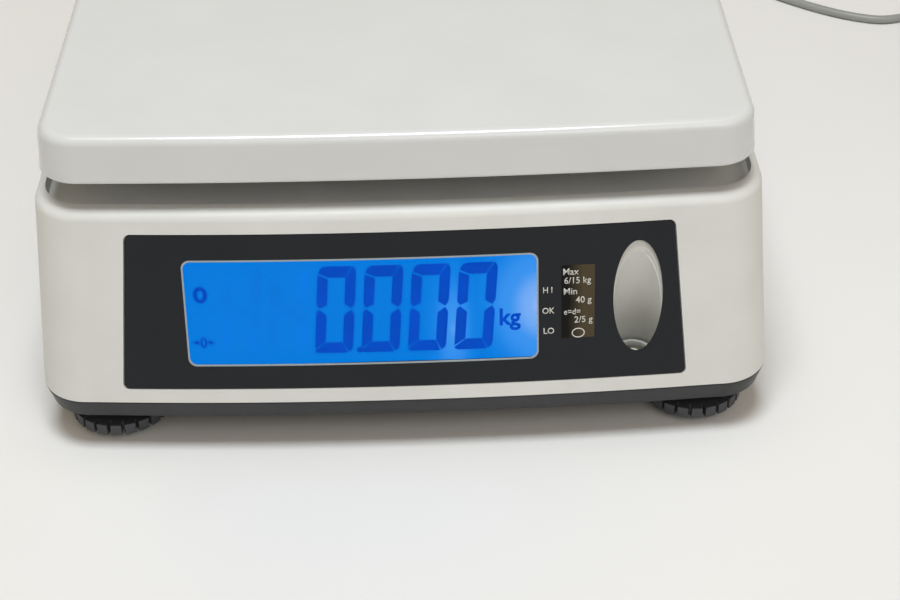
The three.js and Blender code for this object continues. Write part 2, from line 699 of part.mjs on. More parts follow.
// Rubber seats in the cross's four pads, each with a hollow for the platter's peg.
function platterSeat(name, x, y) {
  const seat = turned([
    [0, CROSS_BOTTOM + 4.3],
    [7, CROSS_BOTTOM + 4.3],
    [7, CROSS_TOP + 4],
    [6, CROSS_TOP + 5],
    [3.6, CROSS_TOP + 5],
    [3.2, CROSS_TOP + 2],
    [0, CROSS_TOP + 2],
  ], 20);
  return named(name, seat, RUBBER, [x, y, 0]);
}

function screw(name, x, y, headZ, headRadius, headHeight, radius, length, headUp) {
  const profile = [
    [0, 0],
    [radius, 0],
    [radius, length],
    [headRadius, length],
    [headRadius, length + headHeight - 0.5],
    [headRadius - 0.5, length + headHeight],
    [0, length + headHeight],
  ];
  const geometry = turned(profile, 12);
  geometry.translate(0, 0, -length);
  if (!headUp) geometry.rotateX(Math.PI);
  return named(name, geometry, STEEL, [x, y, headZ]);
}

function cellScrews() {
  const { head, headHeight, radius } = CELL_SCREW;
  const fixed = screwPair(FIXED_Y).map((y, i) =>
    screw(`cell_fixed_screw_${i + 1}`, 0, y, SCREW_HEAD_Z, head, headHeight, radius, 32, false),
  );
  const free = screwPair(FREE_Y).map((y, i) =>
    screw(`cell_free_screw_${i + 1}`, 0, y, CROSS_TOP - 4.7, head, headHeight, radius, 41, true),
  );
  return [...fixed, ...free];
}

// The stop that the free end of the cell reaches just beyond its full load.
function overloadStop() {
  const { head, headHeight, radius, length } = STOP_SCREW;
  return screw("overload_stop_screw", 0, STOP_Y, CELL.bottom - 3.4, head, headHeight, radius, length, true);
}

// ---- platter ---------------------------------------------------------------------------------

function platterRing(z, inset) {
  return (x, y) => {
    const [px, py] = moveIn(x, y, inset, PLATTER_HALF_WIDTH, PLATTER_FRONT, PLATTER_REAR, PLATTER_CORNER);
    return [px, py, z];
  };
}

function platter() {
  const outline = bowedOutline(
    PLATTER_HALF_WIDTH,
    PLATTER_FRONT,
    PLATTER_REAR,
    PLATTER_CORNER,
    PLATTER_BOW,
    0,
    6,
  );
  const flare = (PLATTER_TOP - PLATTER_FILLET - PLATTER_LIP) * Math.tan(radians(PLATTER_DRAFT));
  const rings = [platterRing(PLATTER_LIP, -flare)];
  for (const turn of [0, 30, 60, 90]) {
    const angle = radians(turn);
    const z = PLATTER_TOP - PLATTER_FILLET * (1 - Math.sin(angle));
    rings.push(platterRing(z, PLATTER_FILLET * (1 - Math.cos(angle))));
  }
  const outer = stack(outline, rings);
  const inner = stack(outline, [
    platterRing(PLATTER_LIP - 1, PLATTER_WALL - flare),
    platterRing(PLATTER_TOP - PLATTER_WALL - 1, PLATTER_WALL),
    platterRing(PLATTER_TOP - PLATTER_WALL, PLATTER_WALL + 1),
  ]);
  let tray = cut(outer, inner);
  for (const sx of [-1, 1]) {
    for (const sy of [-1, 1]) {
      const y = PLATTER_CENTRE_Y + sy * SEAT_Y;
      const peg = join(
        post(0, 0, 5.6, CROSS_TOP + 5 + GAP, PLATTER_TOP - 2, 16),
        post(0, 0, 2.8, CROSS_TOP + 2 + GAP, PLATTER_TOP - 2, 16),
      );
      tray = join(tray, peg.translate(sx * SEAT_X, y, 0));
    }
  }
  // Stiffening ribs between the pegs.
  const ribTop = PLATTER_TOP - PLATTER_WALL + 0.5;
  const ribBottom = ribTop - RIB_DEPTH - 0.5;
  for (const sx of [-1, 1]) {
    const x = sx * SEAT_X;
    const span = SEAT_Y - 2;
    const [y0, y1] = [PLATTER_CENTRE_Y - span, PLATTER_CENTRE_Y + span];
    tray = join(tray, box(x - 1, x + 1, y0, y1, ribBottom, ribTop));
  }
  for (const sy of [-1, 1]) {
    const y = PLATTER_CENTRE_Y + sy * SEAT_Y;
    tray = join(tray, box(-SEAT_X + 2, SEAT_X - 2, y - 1, y + 1, ribBottom, ribTop));
  }
  return named("platter", tray, PLATTER_FINISH);
}

// ---- electronics and battery -----------------------------------------------------------------

function electronics() {
  const b = BATTERY;
  const jackBody = block(0, HALF_DEPTH - WALL - 9.2, 11, 13, -5.5, 5.5);
  const jackNose = post(0, 0, 5.8, -2.1, 2.1, 20);
  jackNose.rotateX(Math.PI / 2);
  jackNose.translate(0, HALF_DEPTH - WALL - 1.3, 0);
  const bore = post(0, 0, 3, -8, 8, 16);
  bore.rotateX(Math.PI / 2);
  bore.translate(0, HALF_DEPTH - WALL - 2, 0);
  const pin = post(0, 0, 1.1, -6, 6, 10);
  pin.rotateX(Math.PI / 2);
  pin.translate(0, HALF_DEPTH - WALL - 5.5, 0);
  const jack = join(cut(join(jackBody, jackNose), bore), pin);
  return [
    named("main_board", box(-104, -24, -30, 76, 24, 25.6), BOARD),
    named("battery", block(b.x, b.y, b.width, b.length, b.bottom, b.bottom + b.height), BLACK_PLASTIC),
    named("power_jack", jack, BLACK_PLASTIC, [JACK_X, 0, JACK_Z]),
  ];
}

function batteryCover() {
  const b = BATTERY;
  const plate = block(b.x, b.y, b.width + 8, b.length + 8, BASE_BOTTOM + 0.2, BASE_BOTTOM + 2.6);
  const lugs = [-1, 1].map((s) =>
    block(b.x, b.y + s * (b.length / 2 - 5), 14, 2.4, BASE_BOTTOM + 2, BASE_BOTTOM + 5.6),
  );
  return named("battery_cover", join(plate, ...lugs), DARK_PLASTIC);
}

function housingScrews() {
  const { head, headHeight, radius } = HOUSING_SCREW;
  return SCREW_POSTS.map(([x, y], i) =>
    screw(`housing_screw_${i + 1}`, x, y, SCREW_HEAD_Z, head, headHeight, radius, 22, false),
  );
}

// ---- feet ------------------------------------------------------------------------------------

function footKnob(name, x, y) {
  const hub = turned([
    [0, 5.2],
    [6, 5.2],
    [6, 3.2],
    [KNOB_RADIUS - 2.6, 3.2],
    [KNOB_RADIUS - 2.6, 7.8],
    [6, 7.8],
    [6, 9.2],
    [STUD_RADIUS, 9.6],
    [STUD_RADIUS, 36],
    [STUD_RADIUS - 1, 37],
    [0, 37],
  ], KNOB_TEETH);
  let knob = hub;
  const pitch = (2 * Math.PI) / KNOB_TEETH;
  const width = KNOB_RADIUS * pitch * 0.76;
  for (let i = 0; i < KNOB_TEETH; i += 1) {
    const tooth = box(KNOB_RADIUS - 3.4, KNOB_RADIUS, -width / 2, width / 2, 3.2, 7.8);
    knob = join(knob, tooth.rotateZ((i + 0.5) * pitch));
  }
  return named(name, knob, BLACK_PLASTIC, [x, y, 0]);
}

function footPad(name, x, y) {
  const pad = turned([
    [0, 0],
    [12.2, 0],
    [12.8, 0.6],
    [12.8, 2.9],
    [5.6, 2.9],
    [5.6, 4.9],
    [0, 4.9],
  ], 20);
  return named(name, pad, RUBBER, [x, y, 0]);
}

const FOOT_CORNERS = [
  ["front_left", -1, -1],
  ["front_right", 1, -1],
  ["rear_left", -1, 1],
  ["rear_right", 1, 1],
];

// ---- power lead ------------------------------------------------------------------------------

function tube(points, steps) {
  const curve = new THREE.CatmullRomCurve3(points.map((p) => new THREE.Vector3(...p)), false, "centripetal");
  const section = new THREE.Shape();
  const sides = 8;
  const radius = LEAD_DIAMETER / 2;
  for (let i = 0; i < sides; i += 1) {
    const angle = ((i + 0.5) * 2 * Math.PI) / sides;
    const point = [radius * Math.cos(angle), radius * Math.sin(angle)];
    if (i === 0) section.moveTo(...point);
    else section.lineTo(...point);
  }
  return new THREE.ExtrudeGeometry(section, { steps, extrudePath: curve });
}

function powerLead() {
  const plugBody = turned([
    [0, 0],
    [5.2, 0],
    [5.2, 15],
    [4.4, 17],
    [2.7, 36],
    [0, 36],
  ], 20);
  const barrel = turned([
    [0, -1],
    [1.4, -1],
    [1.4, -9],
    [2.7, -9],
    [2.7, 1],
    [0, 1],
  ], 16);
  const plug = join(plugBody, barrel);
  plug.rotateX(-Math.PI / 2);
  const { inner, outer, height } = COIL;
  const round = 1.2;
  const profile = [
    [inner, round],
    [inner + round, 0],
    [outer - round, 0],
    [outer, round],
    [outer, height - round],
    [outer - round, height],
    [inner + round, height],
    [inner, height - round],
    [inner, round],
  ];
  const ring = turned(profile, 28);
  return [
    named("lead_plug", plug, BLACK_PLASTIC, [JACK_X, HALF_DEPTH + 1, JACK_Z]),
    named("power_lead", tube(LEAD_ROUTE, 38), LEAD_SHEATH),
    named("power_lead_end", tube(TAIL_ROUTE, 1), LEAD_SHEATH),
    named("lead_coil", ring, LEAD_SHEATH, [COIL.x, COIL.y, 0.1]),
  ];
}

function adapter() {
  const a = ADAPTER;
  const body = flatExtrusion(
    roundedRectangle(-a.width / 2, a.width / 2, -a.depth / 2, a.depth / 2, 5),
    0.1,
    a.height,
    4,
  );
  const pins = [-9.5, 9.5].map((dx) => {
    const pin = turned([
      [0, 0],
      [2, 0],
      [2, 17],
      [1, 19],
      [0, 19],
    ], 12);
    pin.rotateX(Math.PI / 2);
    return pin.translate(dx, -a.depth / 2 + 0.5, a.height / 2);
  });
  const relief = turned([
    [0, -1],
    [4.6, -1],
    [4.4, 3],
    [2.6, ADAPTER_RELIEF],
    [0, ADAPTER_RELIEF],
  ], 14);
  relief.rotateX(-Math.PI / 2);
  relief.translate(0, a.depth / 2, TAIL_Z);
  return named("mains_adapter", join(body, ...pins, relief), BLACK_PLASTIC, [a.x, a.y, 0]);
}

// ---- the whole scale -------------------------------------------------------------------------

const scale = new THREE.Group();
scale.add(upperHousing(), lowerHousing(), ...frontDisplay(), ...bubbleLevel(), operatorConsole());
scale.add(loadCell(), platterCross(), platter(), ...cellScrews(), overloadStop());
scale.add(spacer("cell_fixed_spacer", FIXED_Y, CELL.bottom - 6, CELL.bottom - GAP));
scale.add(spacer("cell_free_spacer", FREE_Y, cellTop + GAP, cellTop + GAP + 8));
scale.add(...electronics(), batteryCover(), ...housingScrews());
for (const [corner, sx, sy] of FOOT_CORNERS) {
  const seatY = PLATTER_CENTRE_Y + sy * SEAT_Y;
  scale.add(platterSeat(`platter_seat_${corner}`, sx * SEAT_X, seatY));
  scale.add(footKnob(`foot_knob_${corner}`, sx * FOOT_X, sy * FOOT_Y));
  scale.add(footPad(`foot_pad_${corner}`, sx * FOOT_X, sy * FOOT_Y));
}
scale.add(...powerLead(), adapter());

export default scale;
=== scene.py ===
"""Looks for a counter weighing scale: housing, platter, backlit display, level, feet and power lead.

Lengths are millimetres up to the moment a mesh is made, where MM turns them into metres.
"""

import json
import math

import bmesh
import bpy
import numpy as np
from mathutils import Matrix, Vector

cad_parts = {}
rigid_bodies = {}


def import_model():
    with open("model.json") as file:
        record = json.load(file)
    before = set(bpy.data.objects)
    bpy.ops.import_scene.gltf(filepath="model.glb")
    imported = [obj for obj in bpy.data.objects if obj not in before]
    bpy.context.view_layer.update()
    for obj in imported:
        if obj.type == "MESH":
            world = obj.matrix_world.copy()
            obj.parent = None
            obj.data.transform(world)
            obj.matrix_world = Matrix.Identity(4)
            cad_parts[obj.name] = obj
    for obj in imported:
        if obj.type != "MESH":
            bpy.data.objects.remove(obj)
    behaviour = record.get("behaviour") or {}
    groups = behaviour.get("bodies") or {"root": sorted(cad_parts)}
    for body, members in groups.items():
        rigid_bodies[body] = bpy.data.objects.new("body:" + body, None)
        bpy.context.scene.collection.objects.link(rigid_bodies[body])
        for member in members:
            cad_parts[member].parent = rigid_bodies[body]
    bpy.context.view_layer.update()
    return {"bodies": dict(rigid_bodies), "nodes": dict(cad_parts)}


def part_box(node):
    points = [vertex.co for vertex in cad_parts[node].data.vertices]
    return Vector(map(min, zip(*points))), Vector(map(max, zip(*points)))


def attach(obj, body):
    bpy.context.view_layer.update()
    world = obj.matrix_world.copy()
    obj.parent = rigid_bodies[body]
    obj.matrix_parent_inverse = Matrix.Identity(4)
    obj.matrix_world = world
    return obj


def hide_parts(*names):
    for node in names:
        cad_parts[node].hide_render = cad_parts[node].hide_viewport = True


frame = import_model()
MM = 0.001
NODES = frame["nodes"]


# ---- sizes worked out from the frame -----------------------------------------------------------

def box_mm(node):
    """The lowest and highest corners of a CAD node, in millimetres."""
    low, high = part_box(node)
    return low / MM, high / MM


def middle_mm(node):
    """The middle of a CAD node's box, in millimetres."""
    low, high = box_mm(node)
    return [(a + b) / 2 for a, b in zip(low, high)]


HOUSING_LOW, HOUSING_HIGH = box_mm("upper_housing")
PLATTER_LOW, PLATTER_HIGH = box_mm("platter")
HALF_WIDTH = HOUSING_HIGH.x
HALF_DEPTH = HOUSING_HIGH.y
SEAM = HOUSING_LOW.z
BASE_BOTTOM = box_mm("lower_housing")[0].z
CREST = HOUSING_HIGH.z

CORNER_RADIUS = 18
FACE_BOW = 1650
FACE_LEAN = math.radians(14)
SIDE_LEAN = math.radians(3.5)
RIM_TOP = 91.8
RIM_FILLET = 3
WALL = 2.6
DECK = 86.5
DECK_HALF_WIDTH = 124.6
DECK_FRONT = -119.6
DECK_REAR = 57
DECK_CORNER = 15

CONSOLE_SLOPE = math.radians(32)
CONSOLE_CENTRE = Vector((0, 101.5, 73.6))

PLATTER_LIP = 103.4
PLATTER_CORNER = 14
PLATTER_FILLET = 3.5
PLATTER_WALL = 3
PLATTER_BOW = 2200
PLATTER_DRAFT = math.radians(5.5)

PANEL_BOTTOM = 27.8
PANEL_TOP = 84.3
PANEL_HALF_BOTTOM = 100.35
PANEL_HALF_TOP = 95.07
PANEL_DEPTH = 1.0
WINDOW_X = (-76.4, 47.6)
WINDOW_Z = (36.4, 75.4)
WINDOW_CORNER = 3
WELL_X = 82.8
WELL_Z = 57.4
WELL_RADIUS = 8.75
WELL_HEIGHT = 41.2
WELL_TILT = math.radians(10.3)

LEAD_DIAMETER = 4
COIL_TURNS = 8
COIL_START = 118  # degrees, where the route meets the coil
COIL_OUTER_TURN = 0.66
COIL_SPIRAL_TURNS = 3
COIL_CLIMB_TURN = 0.7


def face_y(x, z):
    """Where the bowed, leaning front face is, in Y."""
    return -HALF_DEPTH + x * x / (2 * FACE_BOW) + (z - SEAM) * math.tan(FACE_LEAN)


# ---- camera ------------------------------------------------------------------------------------

CAMERA_PLACE = (0.0097, -0.638, 0.4362)
CAMERA_TURN = (36.79, 0.79, -1.17)  # pitch, yaw and roll, in degrees
CAMERA_LENS = 72
CAMERA_SENSOR = 36


def add_camera():
    """A long lens that looks down on the customer's side."""
    pitch, yaw, roll = (math.radians(a) for a in CAMERA_TURN)
    forward = Vector((math.sin(yaw) * math.cos(pitch), math.cos(yaw) * math.cos(pitch), -math.sin(pitch)))
    level = Vector((math.cos(yaw), -math.sin(yaw), 0))
    above = level.cross(forward)
    right = level * math.cos(roll) + above * math.sin(roll)
    up = above * math.cos(roll) - level * math.sin(roll)
    data = bpy.data.cameras.new("camera")
    data.sensor_width = CAMERA_SENSOR
    data.lens = CAMERA_LENS
    data.clip_start = 0.01
    camera = bpy.data.objects.new("camera", data)
    turn = Matrix((right, up, -forward)).transposed().to_4x4()
    camera.matrix_world = Matrix.Translation(CAMERA_PLACE) @ turn
    bpy.context.scene.collection.objects.link(camera)
    bpy.context.scene.camera = camera


add_camera()


# ---- materials ---------------------------------------------------------------------------------

def srgb(r, g, b):
    """A colour given as 0 to 255 in sRGB, as linear values."""
    def linear(v):
        v /= 255
        return v / 12.92 if v <= 0.04045 else ((v + 0.055) / 1.055) ** 2.4
    return (linear(r), linear(g), linear(b), 1)


class Nodes:
    """A short way to build a material's node tree."""

    def __init__(self, name):
        self.material = bpy.data.materials.new(name)
        self.material.use_nodes = True
        self.tree = self.material.node_tree
        self.tree.nodes.clear()
        self.output = self.add("ShaderNodeOutputMaterial")
        self.shader = self.add("ShaderNodeBsdfPrincipled")
        self.link(self.shader.outputs[0], self.output.inputs["Surface"])
        self.coordinates = self.add("ShaderNodeTexCoord").outputs["Object"]

    def add(self, kind, **values):
        node = self.tree.nodes.new(kind)
        for key, value in values.items():
            setattr(node, key, value)
        return node

    def link(self, a, b):
        self.tree.links.new(a, b)

    def set(self, **values):
        for key, value in values.items():
            self.shader.inputs[key.replace("_", " ")].default_value = value

    def noise(self, scale, detail=3, roughness=0.5):
        node = self.add("ShaderNodeTexNoise")
        node.inputs["Scale"].default_value = scale
        node.inputs["Detail"].default_value = detail
        node.inputs["Roughness"].default_value = roughness
        self.link(self.coordinates, node.inputs["Vector"])
        return node.outputs["Fac"]

    def ramp(self, value, stops, interpolation="LINEAR"):
        node = self.add("ShaderNodeValToRGB")
        node.color_ramp.interpolation = interpolation
        elements = node.color_ramp.elements
        while len(elements) < len(stops):
            elements.new(0.5)
        for element, (position, colour) in zip(elements, stops):
            element.position = position
            element.color = colour
        self.link(value, node.inputs["Fac"])
        return node.outputs["Color"]

    def spread(self, value, low, high):
        """A 0 to 1 value stretched to a range."""
        node = self.add("ShaderNodeMapRange")
        node.inputs["From Min"].default_value = 0.25
        node.inputs["From Max"].default_value = 0.75
        node.inputs["To Min"].default_value = low
        node.inputs["To Max"].default_value = high
        self.link(value, node.inputs["Value"])
        return node.outputs["Result"]

    def bump(self, height, distance, strength=1.0, after=None):
        node = self.add("ShaderNodeBump")
        node.inputs["Distance"].default_value = distance
        node.inputs["Strength"].default_value = strength
        self.link(height, node.inputs["Height"])
        if after is not None:
            self.link(after, node.inputs["Normal"])
        return node.outputs["Normal"]


def shade(colour, factor):
    return tuple(c * factor for c in colour[:3]) + (1,)


def moulded(name, colour, roughness, grain=1400, grain_depth=0.00002, tint=0.03, coat=0.0, specular=0.5):
    """Injection-moulded plastic: faint mottling, uneven gloss and a fine spark-eroded grain."""
    n = Nodes(name)
    mottle = n.noise(38, 4)
    base = n.ramp(mottle, [(0.3, shade(colour, 1 - tint)), (0.7, shade(colour, 1 + tint))])
    n.link(base, n.shader.inputs["Base Color"])
    n.link(n.spread(n.noise(170, 3), roughness * 0.88, roughness * 1.12), n.shader.inputs["Roughness"])
    fine = n.bump(n.noise(grain, 2), grain_depth, 0.6)
    wave = n.bump(n.noise(9, 2), 0.0004, 0.05, fine)
    n.link(wave, n.shader.inputs["Normal"])
    n.set(Specular_IOR_Level=specular, Coat_Weight=coat, Coat_Roughness=0.12)
    return n.material


def metal(name, colour, roughness, grain, depth, speckle=0.12):
    n = Nodes(name)
    cloud = n.noise(60, 5, 0.6)
    base = n.ramp(cloud, [(0.25, shade(colour, 1 - speckle)), (0.75, shade(colour, 1 + speckle))])
    n.link(base, n.shader.inputs["Base Color"])
    n.link(n.spread(n.noise(240, 4), roughness * 0.8, roughness * 1.2), n.shader.inputs["Roughness"])
    n.link(n.bump(n.noise(grain, 3), depth, 0.7), n.shader.inputs["Normal"])
    n.set(Metallic=1.0)
    return n.material


def clear_plastic(name, tint, roughness=0.03, alpha=0.04):
    """A thin clear pane: mostly see-through, with its own gloss and faint smears."""
    n = Nodes(name)
    n.link(n.ramp(n.noise(20, 2), [(0.3, tint), (0.7, shade(tint, 1.02))]), n.shader.inputs["Base Color"])
    n.link(n.spread(n.noise(25, 5, 0.6), roughness, roughness * 2.2), n.shader.inputs["Roughness"])
    n.set(Alpha=alpha, IOR=1.49)
    return n.material


def backlit(name, lamp_x, lamp_z):
    """The lit field of a display: deep blue that pales towards a lamp's place behind it."""
    n = Nodes(name)

    def away_from(x, z, reach_x, reach_z):
        """How far a point is from a lamp's place, in reaches."""
        place = n.add("ShaderNodeMapping")
        place.inputs["Scale"].default_value = (1000 / reach_x, 0, 1000 / reach_z)
        place.inputs["Location"].default_value = (-x / reach_x, 0, -z / reach_z)
        n.link(n.coordinates, place.inputs["Vector"])
        length = n.add("ShaderNodeVectorMath", operation="LENGTH")
        n.link(place.outputs[0], length.inputs[0])
        return length.outputs["Value"]

    nearer = n.add("ShaderNodeMath", operation="MINIMUM")
    n.link(away_from(lamp_x, lamp_z, 27, 34), nearer.inputs[0])
    dim = n.add("ShaderNodeMath", operation="ADD")
    dim.inputs[1].default_value = 0.3
    n.link(away_from(lamp_x - 31, lamp_z - 8, 17, 46), dim.inputs[0])
    n.link(dim.outputs[0], nearer.inputs[1])
    waver = n.add("ShaderNodeMath", operation="MULTIPLY_ADD")
    n.link(n.noise(22, 2), waver.inputs[0])
    waver.inputs[1].default_value = 0.12
    n.link(nearer.outputs[0], waver.inputs[2])
    glow = n.ramp(
        waver.outputs[0],
        [
            (0.0, srgb(170, 196, 255)),
            (0.22, srgb(120, 176, 250)),
            (0.5, srgb(58, 150, 243)),
            (0.85, srgb(10, 130, 232)),
            (1.0, srgb(0, 124, 226)),
        ],
        "EASE",
    )
    n.link(glow, n.shader.inputs["Emission Color"])
    n.set(Base_Color=srgb(0, 8, 30), Emission_Strength=1.0, Roughness=0.5, Specular_IOR_Level=0.0)
    return n.material


def segment_ink(name, colour):
    """Liquid-crystal segments: a darker blue with a faint ripple in its tone."""
    n = Nodes(name)
    n.link(
        n.ramp(n.noise(90, 2), [(0.3, shade(colour, 0.93)), (0.7, shade(colour, 1.07))]),
        n.shader.inputs["Emission Color"],
    )
    n.set(Base_Color=shade(colour, 0.03), Emission_Strength=1.0, Roughness=0.5, Specular_IOR_Level=0.0)
    return n.material


def foil(name, left, right, dark, bronze):
    """A dark label whose tone warms from its left edge to its right."""
    n = Nodes(name)
    split = n.add("ShaderNodeSeparateXYZ")
    n.link(n.coordinates, split.inputs[0])
    along = n.add("ShaderNodeMapRange")
    along.inputs["From Min"].default_value = left * MM
    along.inputs["From Max"].default_value = right * MM
    n.link(split.outputs["X"], along.inputs["Value"])
    waver = n.add("ShaderNodeMath", operation="MULTIPLY_ADD")
    n.link(n.noise(160, 3), waver.inputs[0])
    waver.inputs[1].default_value = 0.2
    n.link(along.outputs["Result"], waver.inputs[2])
    n.link(n.ramp(waver.outputs[0], [(0.3, dark), (0.75, bronze)]), n.shader.inputs["Base Color"])
    n.link(n.spread(n.noise(300), 0.3, 0.4), n.shader.inputs["Roughness"])
    n.set(Specular_IOR_Level=0.2)
    return n.material


def ink(name, colour):
    """Screen-printed ink: slightly uneven cover."""
    n = Nodes(name)
    n.link(
        n.ramp(n.noise(900, 3), [(0.35, shade(colour, 0.9)), (0.65, shade(colour, 1.05))]),
        n.shader.inputs["Base Color"],
    )
    n.link(n.spread(n.noise(300), 0.55 * 0.9, 0.55 * 1.1), n.shader.inputs["Roughness"])
    return n.material


HOUSING_COLOUR = srgb(219, 220, 218)
PLATTER_COLOUR = srgb(215, 217, 219)

housing_plastic = moulded("housing_plastic", HOUSING_COLOUR, 0.45, specular=0.35)
platter_plastic = moulded(
    "platter_plastic", PLATTER_COLOUR, 0.24, grain=1800, grain_depth=0.00001, tint=0.015, coat=0.35)
base_plastic = moulded("base_plastic", srgb(52, 53, 56), 0.45, tint=0.06, specular=0.3)
panel_film = moulded(
    "panel_film_finish", srgb(30, 33, 38), 0.5, specular=0.25, grain=2600, grain_depth=0.000012, tint=0.05)
black_plastic = moulded("black_plastic", srgb(44, 45, 48), 0.45, tint=0.08)
knob_plastic = moulded("knob_plastic", srgb(62, 65, 70), 0.42, tint=0.08)
rubber = moulded("rubber_finish", srgb(30, 30, 31), 0.8, grain=900, grain_depth=0.00004, tint=0.1)
key_plastic = moulded("key_plastic_finish", srgb(196, 198, 200), 0.42)
lead_plastic = moulded("lead_plastic", srgb(150, 152, 150), 0.4, grain=700, tint=0.04)
cast_metal = metal("cast_metal", srgb(178, 180, 182), 0.42, 700, 0.00012)
zinc = metal("zinc_plate", srgb(180, 180, 176), 0.28, 1500, 0.00002)
milled = metal("milled_aluminium", srgb(200, 202, 204), 0.3, 1100, 0.00003, speckle=0.06)
board_green = moulded("board_green", srgb(24, 92, 52), 0.35, tint=0.18)
diffuser_white = moulded("diffuser_white", srgb(232, 240, 246), 0.5)
window_clear = clear_plastic("window_clear", srgb(60, 66, 72), 0.03, 0.03)
lit_field = backlit("lit_field", WINDOW_X[1] + 1, 54.5)
console_field = backlit("console_field", -62, 88)
segment_blue = segment_ink("segment_blue", srgb(0, 74, 198))
ghost_blue = segment_ink("ghost_blue", srgb(4, 122, 227))
line_grey = ink("line_grey", srgb(160, 170, 175))
label_foil = foil("label_foil", 55.7, 67.4, srgb(6, 5, 5), srgb(76, 66, 48))
legend_grey = ink("legend_grey", srgb(214, 214, 208))


# ---- making meshes -----------------------------------------------------------------------------

def add_object(name, mesh, material=None):
    piece = bpy.data.objects.new(name, mesh)
    bpy.context.scene.collection.objects.link(piece)
    if material is not None:
        mesh.materials.clear()
        mesh.materials.append(material)
    return piece


def mesh_of(name, points, faces):
    """A mesh from points in millimetres."""
    mesh = bpy.data.meshes.new(name)
    mesh.from_pydata([(x * MM, y * MM, z * MM) for x, y, z in points], [], faces)
    mesh.validate()
    return mesh


def closed(piece):
    """Welds a piece's points and turns its faces outwards."""
    edit = bmesh.new()
    edit.from_mesh(piece.data)
    bmesh.ops.remove_doubles(edit, verts=edit.verts, dist=1e-6)
    bmesh.ops.recalc_face_normals(edit, faces=edit.faces)
    edit.to_mesh(piece.data)
    edit.free()
    return piece


def applied(piece):
    """Makes a piece's modifiers part of its mesh."""
    bpy.context.view_layer.update()
    graph = bpy.context.evaluated_depsgraph_get()
    mesh = bpy.data.meshes.new_from_object(piece.evaluated_get(graph))
    piece.modifiers.clear()
    piece.data = mesh
    return piece


def combine(piece, tool, operation):
    """Joins a tool to a piece, cuts it away, or keeps what they share."""
    step = piece.modifiers.new("combine", "BOOLEAN")
    step.operation = operation
    step.solver = "EXACT"
    step.object = tool
    applied(piece)
    bpy.data.objects.remove(tool)
    return piece


def cut(piece, *tools):
    for tool in tools:
        combine(piece, tool, "DIFFERENCE")
    return piece


def add_bevel(piece, width, segments, angle, weld_distance):
    """Adds the modifiers that weld a piece's points and round its sharp edges."""
    weld = piece.modifiers.new("weld", "WELD")
    weld.merge_threshold = weld_distance
    bevel = piece.modifiers.new("bevel", "BEVEL")
    bevel.width = width * MM
    bevel.segments = segments
    bevel.limit_method = "ANGLE"
    bevel.angle_limit = math.radians(angle)
    return bevel


def soften(piece, width, segments=2, angle=32):
    """Rounds the sharp edges and shades the rest smooth."""
    add_bevel(piece, width, segments, angle, 0.00001).miter_outer = "MITER_ARC"
    applied(piece)
    smooth(piece, angle)


def smooth(piece, angle=32, weight=60):
    """Shades a piece smooth, with edges above the angle kept sharp."""
    mesh = piece.data
    mesh.polygons.foreach_set("use_smooth", [True] * len(mesh.polygons))
    mesh.set_sharp_from_angle(angle=math.radians(angle))
    normals = piece.modifiers.new("normals", "WEIGHTED_NORMAL")
    normals.keep_sharp = True
    normals.weight = weight


def finish_piece(piece, name, body, slot_name, *nodes, material=None):
    piece.name = name
    if material is not None:
        piece.data.materials.clear()
        piece.data.materials.append(material)
    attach(piece, body)
    if nodes:
        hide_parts(*nodes)


def prism(outline, low, high, axis="z", matrix=None):
    """A solid from a closed outline, pushed from low to high along an axis.

    The outline is (x, y) for axis z, and (x, z) for axis y.
    """
    place = (lambda a, b, h: (a, b, h)) if axis == "z" else (lambda a, b, h: (a, h, b))
    n = len(outline)
    points = [place(a, b, low) for a, b in outline] + [place(a, b, high) for a, b in outline]
    faces = [tuple(range(n)), tuple(range(2 * n - 1, n - 1, -1))]
    faces += [(i, n + i, n + (i + 1) % n, (i + 1) % n) for i in range(n)]
    piece = closed(add_object("prism", mesh_of("prism", points, faces)))
    if matrix is not None:
        piece.data.transform(matrix)
    return piece


def rounded(x0, x1, y0, y1, radius, steps=10):
    """A rectangle with round corners."""
    corners = [
        (x1 - radius, y0 + radius, -90),
        (x1 - radius, y1 - radius, 0),
        (x0 + radius, y1 - radius, 90),
        (x0 + radius, y0 + radius, 180),
    ]
    points = []
    for cx, cy, start in corners:
        for i in range(steps + 1):
            angle = math.radians(start + 90 * i / steps)
            points.append((cx + radius * math.cos(angle), cy + radius * math.sin(angle)))
    return points


def ellipse(cx, cy, rx, ry, steps=64):
    turn = 2 * math.pi / steps
    return [(cx + rx * math.cos(i * turn), cy + ry * math.sin(i * turn)) for i in range(steps)]


def rod(radius, length, matrix, sides=48):
    """A cylinder about its own Z, from -length / 2 to length / 2, put in place by a matrix in mm."""
    piece = prism(ellipse(0, 0, radius, radius, sides), -length / 2, length / 2)
    piece.data.transform(mm_matrix(matrix))
    return piece


def mm_matrix(matrix):
    """A matrix whose shift is in millimetres, for meshes that are already in metres."""
    scaled = matrix.copy()
    scaled.translation = matrix.translation * MM
    return scaled


